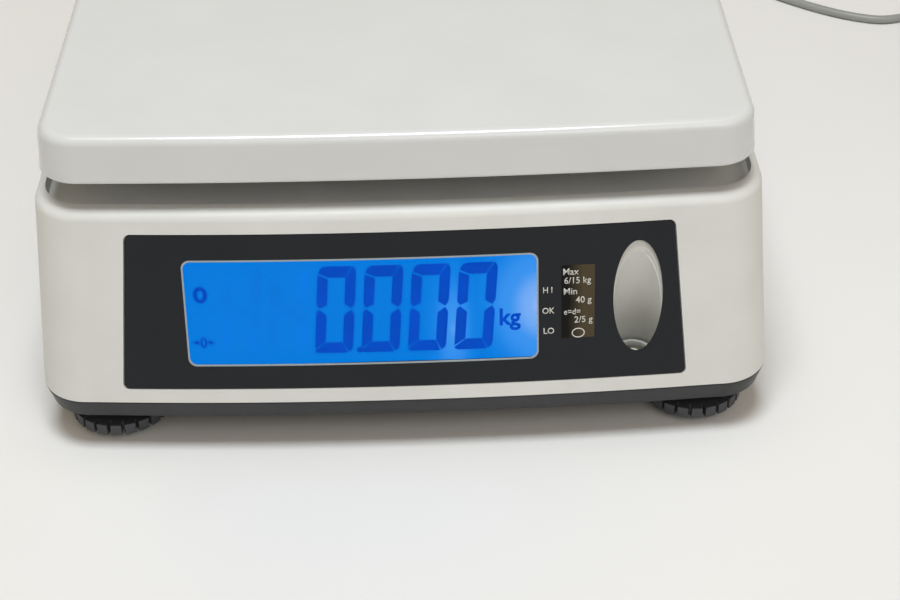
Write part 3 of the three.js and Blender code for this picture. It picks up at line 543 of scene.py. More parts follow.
def turned(profile, matrix, sides=48):
    """A solid of revolution about Z from (radius, z) points that start and end on the axis."""
    points, faces, rows = [], [], []
    for radius, z in profile:
        if radius < 1e-9:
            rows.append([len(points)])
            points.append((0, 0, z))
            continue
        rows.append(list(range(len(points), len(points) + sides)))
        for i in range(sides):
            angle = 2 * math.pi * i / sides
            points.append((radius * math.cos(angle), radius * math.sin(angle), z))
    for a, b in zip(rows, rows[1:]):
        for i in range(sides):
            j = (i + 1) % sides
            if len(a) == 1 and len(b) == 1:
                continue
            if len(a) == 1:
                faces.append((a[0], b[i], b[j]))
            elif len(b) == 1:
                faces.append((a[i], b[0], a[j]))
            else:
                faces.append((a[i], b[i], b[j], a[j]))
    piece = closed(add_object("turned", mesh_of("turned", points, faces)))
    piece.data.transform(mm_matrix(matrix))
    return piece


def joined(pieces, name):
    """Several objects as one."""
    edit = bmesh.new()
    for piece in pieces:
        piece.data.transform(piece.matrix_world)
        edit.from_mesh(piece.data)
    mesh = bpy.data.meshes.new(name)
    edit.to_mesh(mesh)
    edit.free()
    for piece in pieces:
        bpy.data.objects.remove(piece)
    return add_object(name, mesh)


# ---- the housing's form ------------------------------------------------------------------------

def half_outline(half_width, y_front, y_rear, radius, front_bow, rear_bow, extra=()):
    """The right half of a bowed, round-cornered outline from the front's middle to the rear's.

    Each entry is (x, y, normal x, normal y).
    """
    def edge(y, bow, out):
        limit = half_width - radius
        slope = math.atan(limit / bow) if bow else 0
        sag = limit * limit / (2 * bow) if bow else 0
        end_x = limit + radius * math.sin(slope)
        centre_y = y - out * (sag + radius * math.cos(slope))
        points = []
        for i in range(26):
            x = end_x * i / 26
            tilt = math.atan(x / bow) if bow else 0
            depth = x * x / (2 * bow) if bow else 0
            points.append((x, y - out * depth, math.sin(tilt), out * math.cos(tilt)))
        for i in range(19):
            angle = slope + (math.pi / 2 - slope) * i / 18
            s, c = math.sin(angle), math.cos(angle)
            points.append((limit + radius * s, centre_y + out * radius * c, s, out * c))
        return points

    front = edge(y_front, front_bow, -1)
    rear = edge(y_rear, rear_bow, 1)
    low, high = front[-1][1], rear[-1][1]
    levels = set(np.arange(low + 2, high - 1, 2.5).round(3)) | set(extra)
    side = [(half_width, y, 1, 0) for y in sorted(levels) if low + 0.5 < y < high - 0.5]
    return front + side + rear[::-1]


def ring(levels):
    """Columns for strip_solid from (height, inset) pairs."""
    return lambda p: [(p[0] - p[2] * inset, p[1] - p[3] * inset, z) for z, inset in levels]


def strip_solid(half, columns_of, across=10):
    """A closed solid from the right half of an outline.

    columns_of(point) gives the points up one side of the wall, lowest first. The left side mirrors
    the right, and strips between the two sides close the top and the bottom.
    """
    right = [columns_of(p) for p in half]
    levels = len(right[0])
    n = len(half)
    loop = right + [[(-x, y, z) for x, y, z in column] for column in right[::-1]]
    points = [p for column in loop for p in column]
    faces = []
    for i in range(len(loop)):
        j = (i + 1) % len(loop)
        for k in range(levels - 1):
            faces.append((i * levels + k, j * levels + k, j * levels + k + 1, i * levels + k + 1))
    for level in (0, levels - 1):
        rows = []
        for i in range(n):
            x, y, z = right[i][level]
            row = [i * levels + level]
            for c in range(1, across):
                row.append(len(points))
                points.append((x - 2 * x * c / across, y, z))
            row.append((2 * n - 1 - i) * levels + level)
            rows.append(row)
        for a, b in zip(rows, rows[1:]):
            for c in range(across):
                faces.append((a[c], a[c + 1], b[c + 1], b[c]))
    return closed(add_object("solid", mesh_of("solid", points, faces)))


def top_height(y):
    """The height of the housing's top at a depth: rim, crest behind the platter, sloping console."""
    slope_z = CONSOLE_CENTRE.z - (y - CONSOLE_CENTRE.y) * math.tan(CONSOLE_SLOPE)
    rise = min(max((y - 58) / 1.2, 0), 1)
    blend = rise * rise * (3 - 2 * rise)
    level = RIM_TOP + (CREST - RIM_TOP) * blend
    softness = 1.2
    gap = level - slope_z
    if y < 50:
        return level
    # a smooth minimum of the crest's level and the console's slope
    return level - softness * math.log1p(math.exp(min(gap / softness, 40)))


def lean_weight(y):
    """How far a point takes part in the front face's lean: all of it at the front, none behind."""
    low = -HALF_DEPTH + CORNER_RADIUS + 4
    return min(max((20 - y) / (20 - low), 0), 1)


def housing_solid(inset, drop, fillet, z_bottom):
    extra = np.concatenate([np.arange(54, 70, 0.3), [20]]).round(3)
    half = half_outline(HALF_WIDTH, -HALF_DEPTH, HALF_DEPTH, CORNER_RADIUS, FACE_BOW, FACE_BOW, extra)

    def place(point, z, moved):
        x, y, nx, ny = point
        rise = max(z - SEAM, 0)
        px = (x - nx * moved) * (1 - rise * math.tan(SIDE_LEAN) / HALF_WIDTH)
        return px, y - ny * moved + lean_weight(y) * rise * math.tan(FACE_LEAN), z

    def column(point):
        top = top_height(place(point, RIM_TOP, inset)[1]) - drop
        points = [place(point, z_bottom, inset)]
        for share in (0.0, 0.25, 0.5, 0.75):
            base = max(SEAM, z_bottom)
            points.append(place(point, base + (top - fillet - base) * share + 0.001, inset))
        if not fillet:
            points.append(place(point, top, inset))
            return points
        for i in range(9):
            angle = math.pi / 2 * i / 8
            moved = inset + fillet * (1 - math.cos(angle))
            y = place(point, RIM_TOP, moved)[1]
            level = top_height(y) - drop - fillet * (1 - math.sin(angle))
            points.append(place(point, level, moved))
        return points

    return strip_solid(half, column)


CONSOLE = Matrix.Translation(CONSOLE_CENTRE) @ Matrix.Rotation(-CONSOLE_SLOPE, 4, "X")


def on_console(outline, low, high):
    return prism(outline, low, high, matrix=mm_matrix(CONSOLE))


def face_layer(depth0, depth1, low=PANEL_BOTTOM - 5, high=PANEL_TOP + 5, steps=72):
    """The layer between two depths behind the front face, over the panel's width."""
    reach = PANEL_HALF_BOTTOM + 5
    rows = []
    for i in range(steps + 1):
        x = -reach + 2 * reach * i / steps
        rows.append([
            (x, face_y(x, z) + d / math.cos(FACE_LEAN), z)
            for d, z in ((depth0, low), (depth0, high), (depth1, high), (depth1, low))
        ])
    points = [p for row in rows for p in row]
    faces = [(0, 1, 2, 3), tuple(4 * steps + k for k in (3, 2, 1, 0))]
    for i in range(steps):
        for k in range(4):
            a, b = 4 * i + k, 4 * i + (k + 1) % 4
            faces.append((a, a + 4, b + 4, b))
    return closed(add_object("layer", mesh_of("layer", points, faces)))


def panel_outline(grow, radius=2.2):
    """The front panel's shape, wider at the bottom, as (x, z)."""
    taper = (PANEL_HALF_BOTTOM - PANEL_HALF_TOP) / (PANEL_TOP - PANEL_BOTTOM)
    z0, z1 = PANEL_BOTTOM - grow, PANEL_TOP + grow
    return [
        (x * (1 - taper * (z - PANEL_BOTTOM) / (PANEL_HALF_BOTTOM + grow)), z)
        for x, z in rounded(-PANEL_HALF_BOTTOM - grow, PANEL_HALF_BOTTOM + grow, z0, z1, radius, 8)
    ]


def window_outline(grow, radius=WINDOW_CORNER):
    return rounded(WINDOW_X[0] - grow, WINDOW_X[1] + grow, WINDOW_Z[0] - grow, WINDOW_Z[1] + grow, radius)


def through_front(outline):
    return prism(outline, -HALF_DEPTH - 10, -HALF_DEPTH + 34, axis="y")


def face_patch(outline, depth0, depth1, holes=()):
    """A piece of the layer behind the front face, cut to an outline, with holes."""
    patch = combine(face_layer(depth0, depth1), through_front(outline), "INTERSECT")
    return cut(patch, *(through_front(hole) for hole in holes))


def well_rod(radius, up, down, sides=64):
    middle = Vector((WELL_X, face_y(WELL_X, WELL_Z), WELL_Z))
    turn = Matrix.Rotation(WELL_TILT, 4, "X")
    matrix = Matrix.Translation(middle) @ turn @ Matrix.Translation((0, 0, (up - down) / 2))
    return rod(radius, up + down, matrix, sides)


CONSOLE_HALF = 104
CONSOLE_Y = (-38, 34)
GLASS_X = (-62, 62)
GLASS_Y = (-33, -3)
KEYS = [b for b in frame["bodies"] if b.startswith("key_")]


def key_places():
    """Each key's middle in the console's own plane."""
    back = CONSOLE.inverted()
    places = {}
    for key in KEYS:
        low, high = box_mm(key)
        places[key] = back @ ((low + high) / 2)
    return places


def deck_outline(grow):
    """The recessed deck's outline, its front edge bowed like the housing's."""
    half = half_outline(
        DECK_HALF_WIDTH + grow, DECK_FRONT - grow, DECK_REAR + grow, DECK_CORNER + grow, FACE_BOW, 0)
    right = [(x, y) for x, y, _, _ in half]
    return right + [(-x, y) for x, y in right[::-1] if x > 0]


def upper_housing():
    shell = housing_solid(0, 0, RIM_FILLET, SEAM)
    hollow = housing_solid(WALL, WALL, 0, SEAM - 5)
    cut(hollow, prism(deck_outline(WALL), DECK - WALL, RIM_TOP + 20))
    cut(shell, hollow)
    cut(shell, prism(deck_outline(0), DECK, RIM_TOP + 30))
    foot_y = middle_mm("cell_free_spacer")[1]
    cut(shell, prism(rounded(-27, 27, foot_y - 31.5, foot_y + 26.5, 6), DECK - 10, DECK + 10))
    wall = combine(well_rod(WELL_RADIUS + 2, 24, 60), housing_solid(0.02, 0, RIM_FILLET, SEAM), "INTERSECT")
    combine(shell, wall, "UNION")
    cut(shell, well_rod(WELL_RADIUS - 0.4, 40, 60))
    lead_in = combine(face_layer(-3, PANEL_DEPTH + 0.9), well_rod(WELL_RADIUS, 40, 60), "INTERSECT")
    cut(shell, lead_in)
    recess = combine(face_layer(-3, PANEL_DEPTH + 0.25), through_front(panel_outline(0.35)), "INTERSECT")
    cut(shell, recess, through_front(window_outline(2.6)))
    cut(shell, on_console(rounded(-CONSOLE_HALF, CONSOLE_HALF, *CONSOLE_Y, 4), -0.9, 8))
    cut(shell, on_console(rounded(*GLASS_X, *GLASS_Y, 0.5, 2), -12, 8))
    for place in key_places().values():
        x, y = place.x, 14
        cut(shell, on_console(rounded(x - 11, x + 11, y - 6.5, y + 6.5, 2, 4), -12, 8))
    plug_x, _, plug_z = middle_mm("lead_plug")
    across = Matrix.Translation((plug_x, HALF_DEPTH, plug_z))
    cut(shell, rod(6.3, 24, across @ Matrix.Rotation(math.pi / 2, 4, "X")))
    soften(shell, 0.45, 3)
    finish_piece(shell, "housing_shell", "housing", "light_plastic", "upper_housing",
                 material=housing_plastic)


def base_tray():
    half = half_outline(HALF_WIDTH, -HALF_DEPTH, HALF_DEPTH, CORNER_RADIUS, FACE_BOW, FACE_BOW)
    top = SEAM - 0.3
    foot = ((0, 4.1), (0.12, 3.75), (0.35, 3.45), (1.3, 2.5), (1.75, 2.15), (2.3, 1.95), (5, 1.2))
    edge = [(BASE_BOTTOM + rise, inset) for rise, inset in foot]
    edge += [(top - 0.5, 0.1), (top - 0.15, 0.12), (top, 0.35)]
    tray = strip_solid(half, ring(edge))
    cut(tray, strip_solid(half, ring([(BASE_BOTTOM + 3, 6), (SEAM + 1, 3)])))
    low, high = box_mm("battery_cover")
    cover = (low.x - 0.3, high.x + 0.3, low.y - 0.3, high.y + 0.3)
    cut(tray, prism(rounded(*cover, 2, 6), BASE_BOTTOM - 5, BASE_BOTTOM + 2.9))
    for node in NODES:
        if node.startswith(("foot_knob", "housing_screw", "cell_fixed_screw")):
            x, y, _ = middle_mm(node)
            radius = {"foot": 4.3, "hous": 4.2, "cell": 5.6}[node[:4]]
            cut(tray, prism(ellipse(x, y, radius, radius, 40), 0, 40))
    soften(tray, 0.3, 2, 40)
    finish_piece(tray, "base_tray", "housing", "dark_plastic", "lower_housing", material=base_plastic)


# ---- platter -----------------------------------------------------------------------------------

def platter_shell():
    flare = (PLATTER_HIGH.z - PLATTER_FILLET - PLATTER_LIP) * math.tan(PLATTER_DRAFT)
    half_width = PLATTER_HIGH.x - flare
    front, rear = PLATTER_LOW.y + flare, PLATTER_HIGH.y - flare
    half = half_outline(half_width, front, rear, PLATTER_CORNER, PLATTER_BOW, 0)
    top, lip = PLATTER_HIGH.z, PLATTER_LIP
    outer = [
        (lip + rise, -flare + inset)
        for rise, inset in ((0, 0.9), (0.12, 0.5), (0.45, 0.16), (0.9, 0.04))
    ]
    outer += [(lip + (top - PLATTER_FILLET - lip) * s, -flare * (1 - s)) for s in (0.1, 0.4, 0.7)]
    for i in range(13):
        angle = math.pi / 2 * i / 12
        outer.append((top - PLATTER_FILLET * (1 - math.sin(angle)), PLATTER_FILLET * (1 - math.cos(angle))))
    ceiling = top - PLATTER_WALL
    inner = [(lip - 1, PLATTER_WALL - flare), (ceiling - 2, PLATTER_WALL), (ceiling, PLATTER_WALL + 2)]
    tray = strip_solid(half, ring(outer), 12)
    cut(tray, strip_solid(half, ring(inner), 2))
    smooth(tray, 40)
    finish_piece(tray, "platter_shell", "platter", "platter_finish", "platter", material=platter_plastic)


def platter_underside():
    """Pegs and ribs under the platter."""
    middle_y = (PLATTER_LOW.y + PLATTER_HIGH.y) / 2
    under = PLATTER_HIGH.z - PLATTER_WALL + 0.4
    rib_low = under - 6
    parts = []
    seats = [
        (*middle_mm(node)[:2], box_mm(node)[1].z) for node in NODES if node.startswith("platter_seat")
    ]
    for x, y, z in seats:
        place = Matrix.Translation((x, y, 0))
        parts.append(turned([(0, z - 2.7), (2.5, z - 2.7), (2.8, z - 2.4), (2.8, z + 0.3), (5.2, z + 0.3),
                             (5.6, z + 0.7), (5.8, under - 2), (7.5, under), (0, under)], place, 32))
    xs = sorted({round(x, 2) for x, _, _ in seats})
    ys = sorted({round(y, 2) for _, y, _ in seats})
    for x in xs:
        parts.append(prism(rounded(x - 1, x + 1, ys[0] + 5, ys[1] - 5, 0.6, 3), rib_low, under))
    for y in ys:
        parts.append(prism(rounded(xs[0] + 5, xs[1] - 5, y - 1, y + 1, 0.6, 3), rib_low, under))
    parts.append(prism(rounded(-100, 100, middle_y - 1, middle_y + 1, 0.6, 3), rib_low + 1, under))
    piece = joined(parts, "platter_ribs")
    soften(piece, 0.25, 2)
    finish_piece(piece, "platter_ribs", "platter", "platter_finish", material=platter_plastic)


# ---- front display -----------------------------------------------------------------------------

def front_panel():
    film = face_patch(
        panel_outline(0),
        0.0,
        PANEL_DEPTH,
        [window_outline(0), ellipse(WELL_X, WELL_Z, WELL_RADIUS, WELL_HEIGHT / 2, 96)],
    )
    soften(film, 0.14, 2)
    finish_piece(film, "panel_film", "housing", "panel_film", "front_panel", material=panel_film)
    pane = face_patch(window_outline(-0.1), 0.06, PANEL_DEPTH)
    smooth(pane)
    finish_piece(pane, "window_pane", "housing", "clear_window", "front_window", material=window_clear)
    line = face_patch(window_outline(0.05), -0.02, 0.1, [window_outline(-0.55, WINDOW_CORNER - 0.4)])
    smooth(line)
    finish_piece(line, "window_line", "housing", "light_plastic", material=line_grey)


FACE_NORMAL = Vector((0, -math.cos(FACE_LEAN), math.sin(FACE_LEAN)))
GLASS_LEVEL = max(v.co.dot(FACE_NORMAL) for v in NODES["front_lcd"].data.vertices) / MM


def behind_window(x, z):
    """The point on the display glass that is seen behind a point of the front face."""
    eye = bpy.context.scene.camera.matrix_world.translation / MM
    ray = Vector((x, face_y(x, z), z)) - eye
    return eye + ray * ((GLASS_LEVEL - eye.dot(FACE_NORMAL)) / ray.dot(FACE_NORMAL))


def flat_shapes(name, outlines, lift, material):
    """Flat shapes laid on the display glass, given as (x, z) outlines on the front face."""
    points, faces = [], []
    for outline in outlines:
        start = len(points)
        for side in (0, 1):
            points += [tuple(behind_window(x, z) + FACE_NORMAL * (lift - 0.02 * side)) for x, z in outline]
        n = len(outline)
        faces.append(tuple(range(start, start + n)))
        faces.append(tuple(range(start + 2 * n - 1, start + n - 1, -1)))
        faces += [(start + i, start + n + i, start + n + (i + 1) % n, start + (i + 1) % n) for i in range(n)]
    piece = closed(add_object(name, mesh_of(name, points, faces)))
    finish_piece(piece, name, "housing", "lcd_glass", material=material)


DIGIT_WIDTH = 13.5
DIGIT_HEIGHT = 32.0
DIGIT_LEAN = math.tan(math.radians(4.6))
DIGIT_FOOT = 40.9
LIT_DIGITS = (-23.5, -7.1, 9.3, 25.7)  # the middles, in X
DARK_DIGITS = (-56.3, -39.9)
INK_LIFT = 0.05


def arc(cx, cy, radius, start, end, steps=7):
    turn = math.radians(end - start) / steps
    first = math.radians(start)
    angles = [first + turn * i for i in range(steps + 1)]
    return [(cx + radius * math.cos(a), cy + radius * math.sin(a)) for a in angles]


def digit_segments():
    """The seven segments of a digit, in millimetres from its lower left corner."""
    w, h, s = DIGIT_WIDTH, DIGIT_HEIGHT, 3.75
    g = 0.2  # half the line between two segments
    middle = h / 2 + 0.3
    tip = 1.15
    top = [(0.35, h - 2.9 + g)] + arc(3.0, h - 2.75, 2.7, 172, 90)
    top += [(w - 1.3 - g, h - 0.05), (w - s - g, h - 4.2), (s + 0.1, h - 4.2)]
    upper_right = [(w - 1.3 + g, h - 0.05)] + arc(w - 2.4, h - 2.4, 2.4, 70, 0)
    upper_right += [(w, middle + 2.0), (w - tip, middle + g), (w - s, middle + 1.9), (w - s, h - 4.2)]
    upper_left = [(0, h - 2.95 - g), (s, h - 4.5 - g), (s, middle + 1.5), (tip, middle + g), (0, middle + 1.7)]
    lower_left = [(0, middle - 1.1), (tip, middle - g), (s, middle - 2.3), (s, 4.0 + g), (0, 1.35 + g)]
    bottom = [(0, 1.2 - g), (s + 0.1, 4.0), (w - s - g, 4.0), (w - 1.75 - g, 0.25)]
    bottom += [(w - 2.3, 0), (1.5, 0), (0.5, 0.35)]
    lower_right = [(w, middle - 2.0)] + arc(w - 2.5, 2.7, 2.5, 0, -55)
    lower_right += [(w - 1.75 + g, 0.3), (w - s, 4.0), (w - s, middle - 2.2), (w - tip, middle - g)]
    bar = [(s - 0.6, h / 2), (s + 1.0, h / 2 + 1.7), (w - s - 1.0, h / 2 + 1.7), (w - s + 0.6, h / 2),
           (w - s - 1.0, h / 2 - 1.7), (s + 1.0, h / 2 - 1.7)]
    shapes = (top, upper_right, lower_right, bottom, lower_left, upper_left, bar)
    return dict(zip("abcdefg", shapes))


def placed_digit(middle_x, names):
    """The named segments of a leaning digit, in place on the front face."""
    segments = digit_segments()
    return [
        [
            (middle_x - DIGIT_WIDTH / 2 + x + (z - DIGIT_HEIGHT / 2) * DIGIT_LEAN, DIGIT_FOOT + z)
            for x, z in segments[name]
        ]
        for name in names
    ]


def ring_outline(cx, cz, rx, rz, width, steps=28):
    """A ring as four-sided outlines that lie side by side."""
    outer = ellipse(cx, cz, rx, rz, steps)
    inner = ellipse(cx, cz, rx - width, rz - width, steps)
    following = [(i + 1) % steps for i in range(steps)]
    return [[outer[i], outer[j], inner[j], inner[i]] for i, j in enumerate(following)]


def text_mesh(name, words, size, bold, stretch):
    """Words as a flat mesh in millimetres, on the XY plane with their lower left at the origin."""
    data = bpy.data.curves.new(name, "FONT")
    data.body = words
    data.size = size
    data.offset = bold
    data.resolution_u = 3
    holder = bpy.data.objects.new(name, data)
    bpy.context.scene.collection.objects.link(holder)
    bpy.context.view_layer.update()
    mesh = bpy.data.meshes.new_from_object(holder.evaluated_get(bpy.context.evaluated_depsgraph_get()))
    bpy.data.objects.remove(holder)
    for v in mesh.vertices:
        v.co.x *= stretch
    return mesh


def letters(name, lines, map_point, thickness, material, slot_name):
    """Printed words.

    lines are (words, x, z, size, bold, stretch); map_point takes (x, z) in mm to a place.
    """
    edit = bmesh.new()
    for words, x, z, size, bold, stretch in lines:
        mesh = text_mesh(name, words, size, bold, stretch)
        mesh.transform(Matrix.Translation((x, z, 0)))
        edit.from_mesh(mesh)
        bpy.data.meshes.remove(mesh)
    bmesh.ops.remove_doubles(edit, verts=edit.verts, dist=1e-4)
    flat = bmesh.ops.extrude_face_region(edit, geom=edit.faces[:])
    raised = {v for v in flat["geom"] if isinstance(v, bmesh.types.BMVert)}
    for v in edit.verts:
        place, normal = map_point(v.co.x, v.co.y)
        v.co = (place + normal * (thickness if v in raised else 0)) * MM
    bmesh.ops.recalc_face_normals(edit, faces=edit.faces)
    mesh = bpy.data.meshes.new(name)
    edit.to_mesh(mesh)
    edit.free()
    finish_piece(add_object(name, mesh), name, "housing", slot_name, material=material)


def on_glass(x, z):
    return behind_window(x, z), FACE_NORMAL


def on_face(x, z):
    return Vector((x, face_y(x, z), z)) - FACE_NORMAL * 0.01, FACE_NORMAL


def front_display():
    digits = []
    for middle in LIT_DIGITS:
        digits += placed_digit(middle, "abcdef")
    digits.append(ellipse(-15.6, 41.9, 1.1, 1.1, 24))
    digits += ring_outline(-70.5, 62.9, 2.55, 3.1, 1.5)
    mark_x, mark_z = -70.5, 45.3
    digits += ring_outline(mark_x, mark_z, 1.2, 2.1, 0.75)
    for side in (-1, 1):
        x = mark_x + side * 1.25
        digits.append([(x, mark_z), (x + side * 1.35, mark_z + 1.2), (x + side * 1.35, mark_z - 1.2)])
        near, far = x + side * 1.25, x + side * 2.5
        low, high = mark_z - 0.4, mark_z + 0.4
        digits.append([(near, high), (far, high), (far, low), (near, low)])
    flat_shapes("lcd_digits", digits, INK_LIFT, segment_blue)
    ghosts = []
    for middle in DARK_DIGITS:
        ghosts += placed_digit(middle, "bcefg")
    flat_shapes("lcd_ghosts", ghosts, INK_LIFT, ghost_blue)
    unit = [("kg", 33.6, 49.5, 8.6, 0.22, 0.98)]
    letters("lcd_unit", unit, on_glass, INK_LIFT, segment_blue, "lcd_glass")
    # painted shadow: a dark line inside the window along its lower edge, where the glass lies set back behind
    # the panel
    flat_shapes("painted_window_shadow", [[(-6, 36.9), (48, 36.9), (48, 37.25), (-6, 36.95)]], 0.09,
                segment_ink("painted_window_shadow_dark", srgb(10, 40, 80)))


def front_legends():
    lines = [
        ("H I", 49.1, 60.5, 3.1, 0.03, 0.92),
        ("OK", 48.9, 52.9, 3.1, 0.03, 0.95),
        ("LO", 49.2, 45.4, 3.1, 0.03, 1.0),
    ]
    letters("range_legends", lines, on_face, 0.05, legend_grey, "light_plastic")
    sticker = face_patch(rounded(55.7, 67.4, 43.5, 70.3, 0.4, 3), -0.06, 0.1)
    smooth(sticker)
    finish_piece(sticker, "capacity_label", "housing", "panel_film", material=label_foil)
    words = [
        ("Max", 56.1, 66.8, 3.4, 0.02, 0.97),
        ("6/15 kg", 56.6, 63.6, 3.3, 0.02, 0.97),
        ("Min", 56.3, 59.6, 3.4, 0.02, 1.0),
        ("40 g", 60.7, 56.4, 3.3, 0.02, 1.0),
        ("e=d=", 56.5, 52.2, 3.1, 0.02, 0.9),
        ("2/5 g", 60.2, 49.1, 3.3, 0.02, 1.0),
    ]

    def on_label(x, z):
        return Vector((x, face_y(x, z), z)) + FACE_NORMAL * 0.05, FACE_NORMAL

    letters("label_words", words, on_label, 0.04, legend_grey, "light_plastic")
    oval = face_patch(ellipse(61.7, 45.3, 2.3, 1.8), -0.1, -0.05, [ellipse(61.7, 45.3, 1.95, 1.45)])
    finish_piece(oval, "label_oval", "housing", "light_plastic", material=legend_grey)


# ---- bubble level ------------------------------------------------------------------------------

def bubble_level():
    low, high = box_mm("level_cup")
    place = Matrix.Translation((*middle_mm("level_cup")[:2], 0))
    top, radius = high.z, (high.x - low.x) / 2
    cup = turned(
        [(0, low.z), (radius, low.z), (radius, top - 0.4), (radius - 0.25, top - 0.08), (radius - 0.6, top),
         (radius - 1.2, top - 0.35), (radius - 1.35, top - 1.5), (radius - 1.5, low.z + 1.2), (0, low.z + 1.2)],
        place, 64)
    smooth(cup, 40)
    finish_piece(cup, "level_ring", "housing", "light_plastic", "level_cup", material=housing_plastic)
    vial_low, vial_high = box_mm("level_vial")
    r = (vial_high.x - vial_low.x) / 2 - 0.5
    dome = [(r * math.sin(a), vial_high.z - 2.0 + 1.9 * math.cos(a)) for a in np.linspace(math.pi / 2, 0, 9)]
    vial = turned([(0, vial_low.z), (r, vial_low.z)] + dome[:-1] + [(0, dome[-1][1])], place, 48)
    smooth(vial, 40)
    finish_piece(vial, "level_fluid", "housing", "clear_window", "level_vial",
                 material=moulded("level_olive", srgb(96, 96, 78), 0.1, coat=0.8))
    # the air bubble is an opaque pale cap; its pale colour is a painted highlight
    bubble = turned([(0, vial_high.z - 0.5), (1.9, vial_high.z - 0.45), (2.2, vial_high.z - 0.3),
                     (1.8, vial_high.z - 0.12), (0, vial_high.z - 0.04)], place, 40)
    smooth(bubble, 40)
    finish_piece(bubble, "level_bubble", "housing", "clear_window",
                 material=moulded("bubble_painted_highlight", srgb(235, 240, 225), 0.08, coat=0.8))


# ---- CAD nodes that keep their shape -----------------------------------------------------------

def dress_cad():
    """Gives each CAD node its material, rounds its edges and shades it smooth.

    Each look is the start of a node's name, with a material and the edge's width in mm.
    """
    looks = {
        "foot_knob": (knob_plastic, 0.25),
        "foot_pad": (rubber, 0.3),
        "platter_seat": (rubber, 0.2),
        "platter_cross": (cast_metal, 0.5),
        "load_cell": (milled, 0.3),
        "cell_fixed_spacer": (zinc, 0.3),
        "cell_free_spacer": (zinc, 0.3),
        "cell_fixed_screw": (zinc, 0.15),
        "cell_free_screw": (zinc, 0.15),
        "overload_stop": (zinc, 0.15),
        "housing_screw": (zinc, 0.12),
        "battery_cover": (base_plastic, 0.3),
        "battery": (black_plastic, 0.6),
        "main_board": (board_green, 0.1),
        "front_display_board": (board_green, 0.1),
        "console_board": (board_green, 0.1),
        "front_backlight": (diffuser_white, 0.2),
        "front_lcd": (lit_field, 0.1),
        "console_backlight": (diffuser_white, 0.2),
        "console_lcd": (console_field, 0.1),
        "console_panel": (panel_film, 0.1),
        "console_window": (window_clear, 0.15),
        "power_jack": (black_plastic, 0.2),
        "key_": (key_plastic, 0.4),
        "lead_plug": (black_plastic, 0.2),
        "mains_adapter": (black_plastic, 0.8),
    }
    for node, piece in NODES.items():
        if piece.hide_render:
            continue
        best = max((k for k in looks if node.startswith(k)), key=len, default=None)
        if best:
            material, width = looks[best]
            piece.data.materials.clear()
            piece.data.materials.append(material)
            add_bevel(piece, width, 2, 35, 0.00002)
            smooth(piece, 35, 50)


# ---- power lead --------------------------------------------------------------------------------

# in metres, from the plug's strain relief to the coil
LEAD_ROUTE = [
    (0.070, 0.181, 0.033),
    (0.070, 0.192, 0.0315),
    (0.071, 0.203, 0.025),
    (0.074, 0.213, 0.0145),
    (0.079, 0.223, 0.006),
    (0.087, 0.2325, 0.0026),
    (0.098, 0.240, 0.0021),
    (0.112, 0.2445, 0.0021),
    (0.127, 0.245, 0.0021),
    (0.142, 0.2415, 0.0021),
    (0.156, 0.234, 0.0021),
    (0.168, 0.224, 0.0021),
    (0.179, 0.2125, 0.0021),
    (0.189, 0.2015, 0.0021),
    (0.1993, 0.192, 0.0021),
    (0.2128, 0.1813, 0.0021),
    (0.2264, 0.173, 0.0021),
    (0.2406, 0.1682, 0.0021),
    (0.251, 0.1696, 0.0021),
    (0.2584, 0.1719, 0.0021),
    (0.2646, 0.1745, 0.0021),
]


def spline_through(points, per_span=6):
    """Points along a centripetal Catmull-Rom curve."""
    p = [Vector(q) for q in points]
    p = [p[0] * 2 - p[1]] + p + [p[-1] * 2 - p[-2]]
    out = []
    for i in range(1, len(p) - 2):
        a, b, c, d = p[i - 1], p[i], p[i + 1], p[i + 2]
        t0 = 0.0
        t1 = t0 + max((b - a).length, 1e-9) ** 0.5
        t2 = t1 + max((c - b).length, 1e-9) ** 0.5
        t3 = t2 + max((d - c).length, 1e-9) ** 0.5
        for k in range(per_span):
            t = t1 + (t2 - t1) * k / per_span
            a1 = a * ((t1 - t) / (t1 - t0)) + b * ((t - t0) / (t1 - t0))
            a2 = b * ((t2 - t) / (t2 - t1)) + c * ((t - t1) / (t2 - t1))
            a3 = c * ((t3 - t) / (t3 - t2)) + d * ((t - t2) / (t3 - t2))
            b1 = a1 * ((t2 - t) / (t2 - t0)) + a2 * ((t - t0) / (t2 - t0))
            b2 = a2 * ((t3 - t) / (t3 - t1)) + a3 * ((t - t1) / (t3 - t1))
            out.append(b1 * ((t2 - t) / (t2 - t1)) + b2 * ((t - t1) / (t2 - t1)))
    out.append(p[-2])
    return out


def coil_turns():
    """The wound part of the lead: spirals in on the floor, climbs, and spirals out on top."""
    low, high = box_mm("lead_coil")
    cx, cy, _ = middle_mm("lead_coil")
    outside = (high.x - low.x) / 2 - LEAD_DIAMETER / 2
    first, second = low.z + LEAD_DIAMETER / 2, high.z - LEAD_DIAMETER / 2
    start = math.radians(COIL_START)
    whole = COIL_TURNS + start / (2 * math.pi)
    steps = int(whole * 40)
    points = []
    for i in range(1, steps + 1):
        t = whole * i / steps
        angle = start - 2 * math.pi * t
        # each turn between the outer one and the inner one lies a diameter further in
        inward = min(max(min(t, whole - t) - COIL_OUTER_TURN, 0), COIL_SPIRAL_TURNS)
        radius = outside - inward * LEAD_DIAMETER
        climb = min(max((t - whole / 2) / COIL_CLIMB_TURN + 0.5, 0), 1)
        z = first + (second - first) * climb * climb * (3 - 2 * climb)
        points.append(Vector((cx + radius * math.cos(angle), cy + radius * math.sin(angle), z)) * MM)
    return points


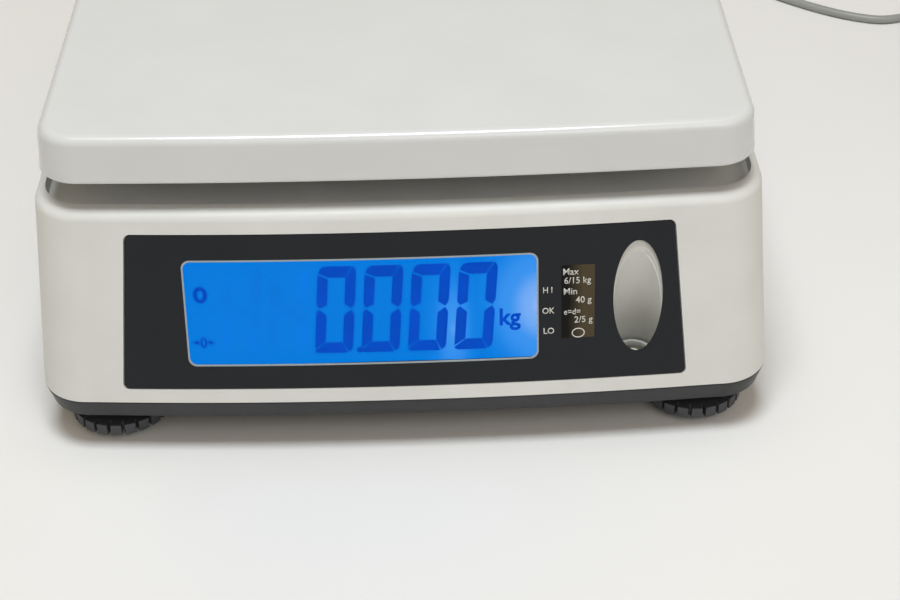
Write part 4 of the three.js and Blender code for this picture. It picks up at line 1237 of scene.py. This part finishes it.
def power_lead():
    tail_x, _, tail_z = middle_mm("power_lead_end")
    tail_end = box_mm("power_lead_end")[0].y
    tail = [Vector((tail_x * MM, y * MM, tail_z * MM)) for y in (150, 146, 141, 137, tail_end)]
    route = spline_through([Vector(p) for p in LEAD_ROUTE], 5) + coil_turns() + tail
    data = bpy.data.curves.new("power_lead_sheath", "CURVE")
    data.dimensions = "3D"
    data.bevel_depth = LEAD_DIAMETER / 2 * MM
    data.bevel_resolution = 6
    data.use_fill_caps = True
    spline = data.splines.new("POLY")
    spline.points.add(len(route) - 1)
    for point, place in zip(spline.points, route):
        point.co = (*place, 1)
    piece = add_object("power_lead_sheath", data)
    data.materials.append(lead_plastic)
    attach(piece, "housing")
    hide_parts("power_lead", "power_lead_end", "lead_coil")


# ---- room --------------------------------------------------------------------------------------

FLOOR_REACH = 4.0
ROOM_LIGHT = (1.0, 0.85, 0.64, 1)
ROOM_STRENGTH = 0.36
LAMP_TARGET = (0, 0, 0.05)
# each lamp's name, place, size, power and colour
LAMPS = [
    ("overhead", (-0.05, -0.3, 1.62), (0.6, 0.4), 17.2, (0.91, 0.965, 1.0)),
    ("front_fill", (0.6, -1.4, 1.3), (1.6, 0.9), 6.5, (1.0, 1.0, 1.0)),
]


def room():
    """The floor, the light from all sides and the lamps."""
    mesh = bpy.data.meshes.new("floor")
    reach = FLOOR_REACH
    corners = [(-reach, -reach, 0), (reach, -reach, 0), (reach, reach, 0), (-reach, reach, 0)]
    mesh.from_pydata(corners, [], [(0, 1, 2, 3)])
    n = Nodes("floor_paper")
    paper = n.ramp(n.noise(3, 3), [(0.3, srgb(233, 233, 234)), (0.7, srgb(237, 237, 237))])
    n.link(paper, n.shader.inputs["Base Color"])
    n.link(n.spread(n.noise(40), 0.55, 0.65), n.shader.inputs["Roughness"])
    floor = add_object("floor", mesh, n.material)

    world = bpy.data.worlds.new("studio")
    bpy.context.scene.world = world
    world.use_nodes = True
    background = world.node_tree.nodes["Background"]
    background.inputs["Color"].default_value = ROOM_LIGHT
    background.inputs["Strength"].default_value = ROOM_STRENGTH

    for name, place, size, power, colour in LAMPS:
        data = bpy.data.lights.new(name, "AREA")
        data.shape = "RECTANGLE"
        data.size, data.size_y = size
        data.energy = power
        data.color = colour
        light = bpy.data.objects.new(name, data)
        light.location = place
        light.rotation_euler = (Vector(LAMP_TARGET) - Vector(place)).to_track_quat("-Z", "Y").to_euler()
        bpy.context.scene.collection.objects.link(light)


upper_housing()
base_tray()
platter_shell()
platter_underside()
front_panel()
front_display()
front_legends()
bubble_level()
power_lead()
dress_cad()
room()

view = bpy.context.scene.view_settings
view.view_transform = "Standard"
view.look = "None"
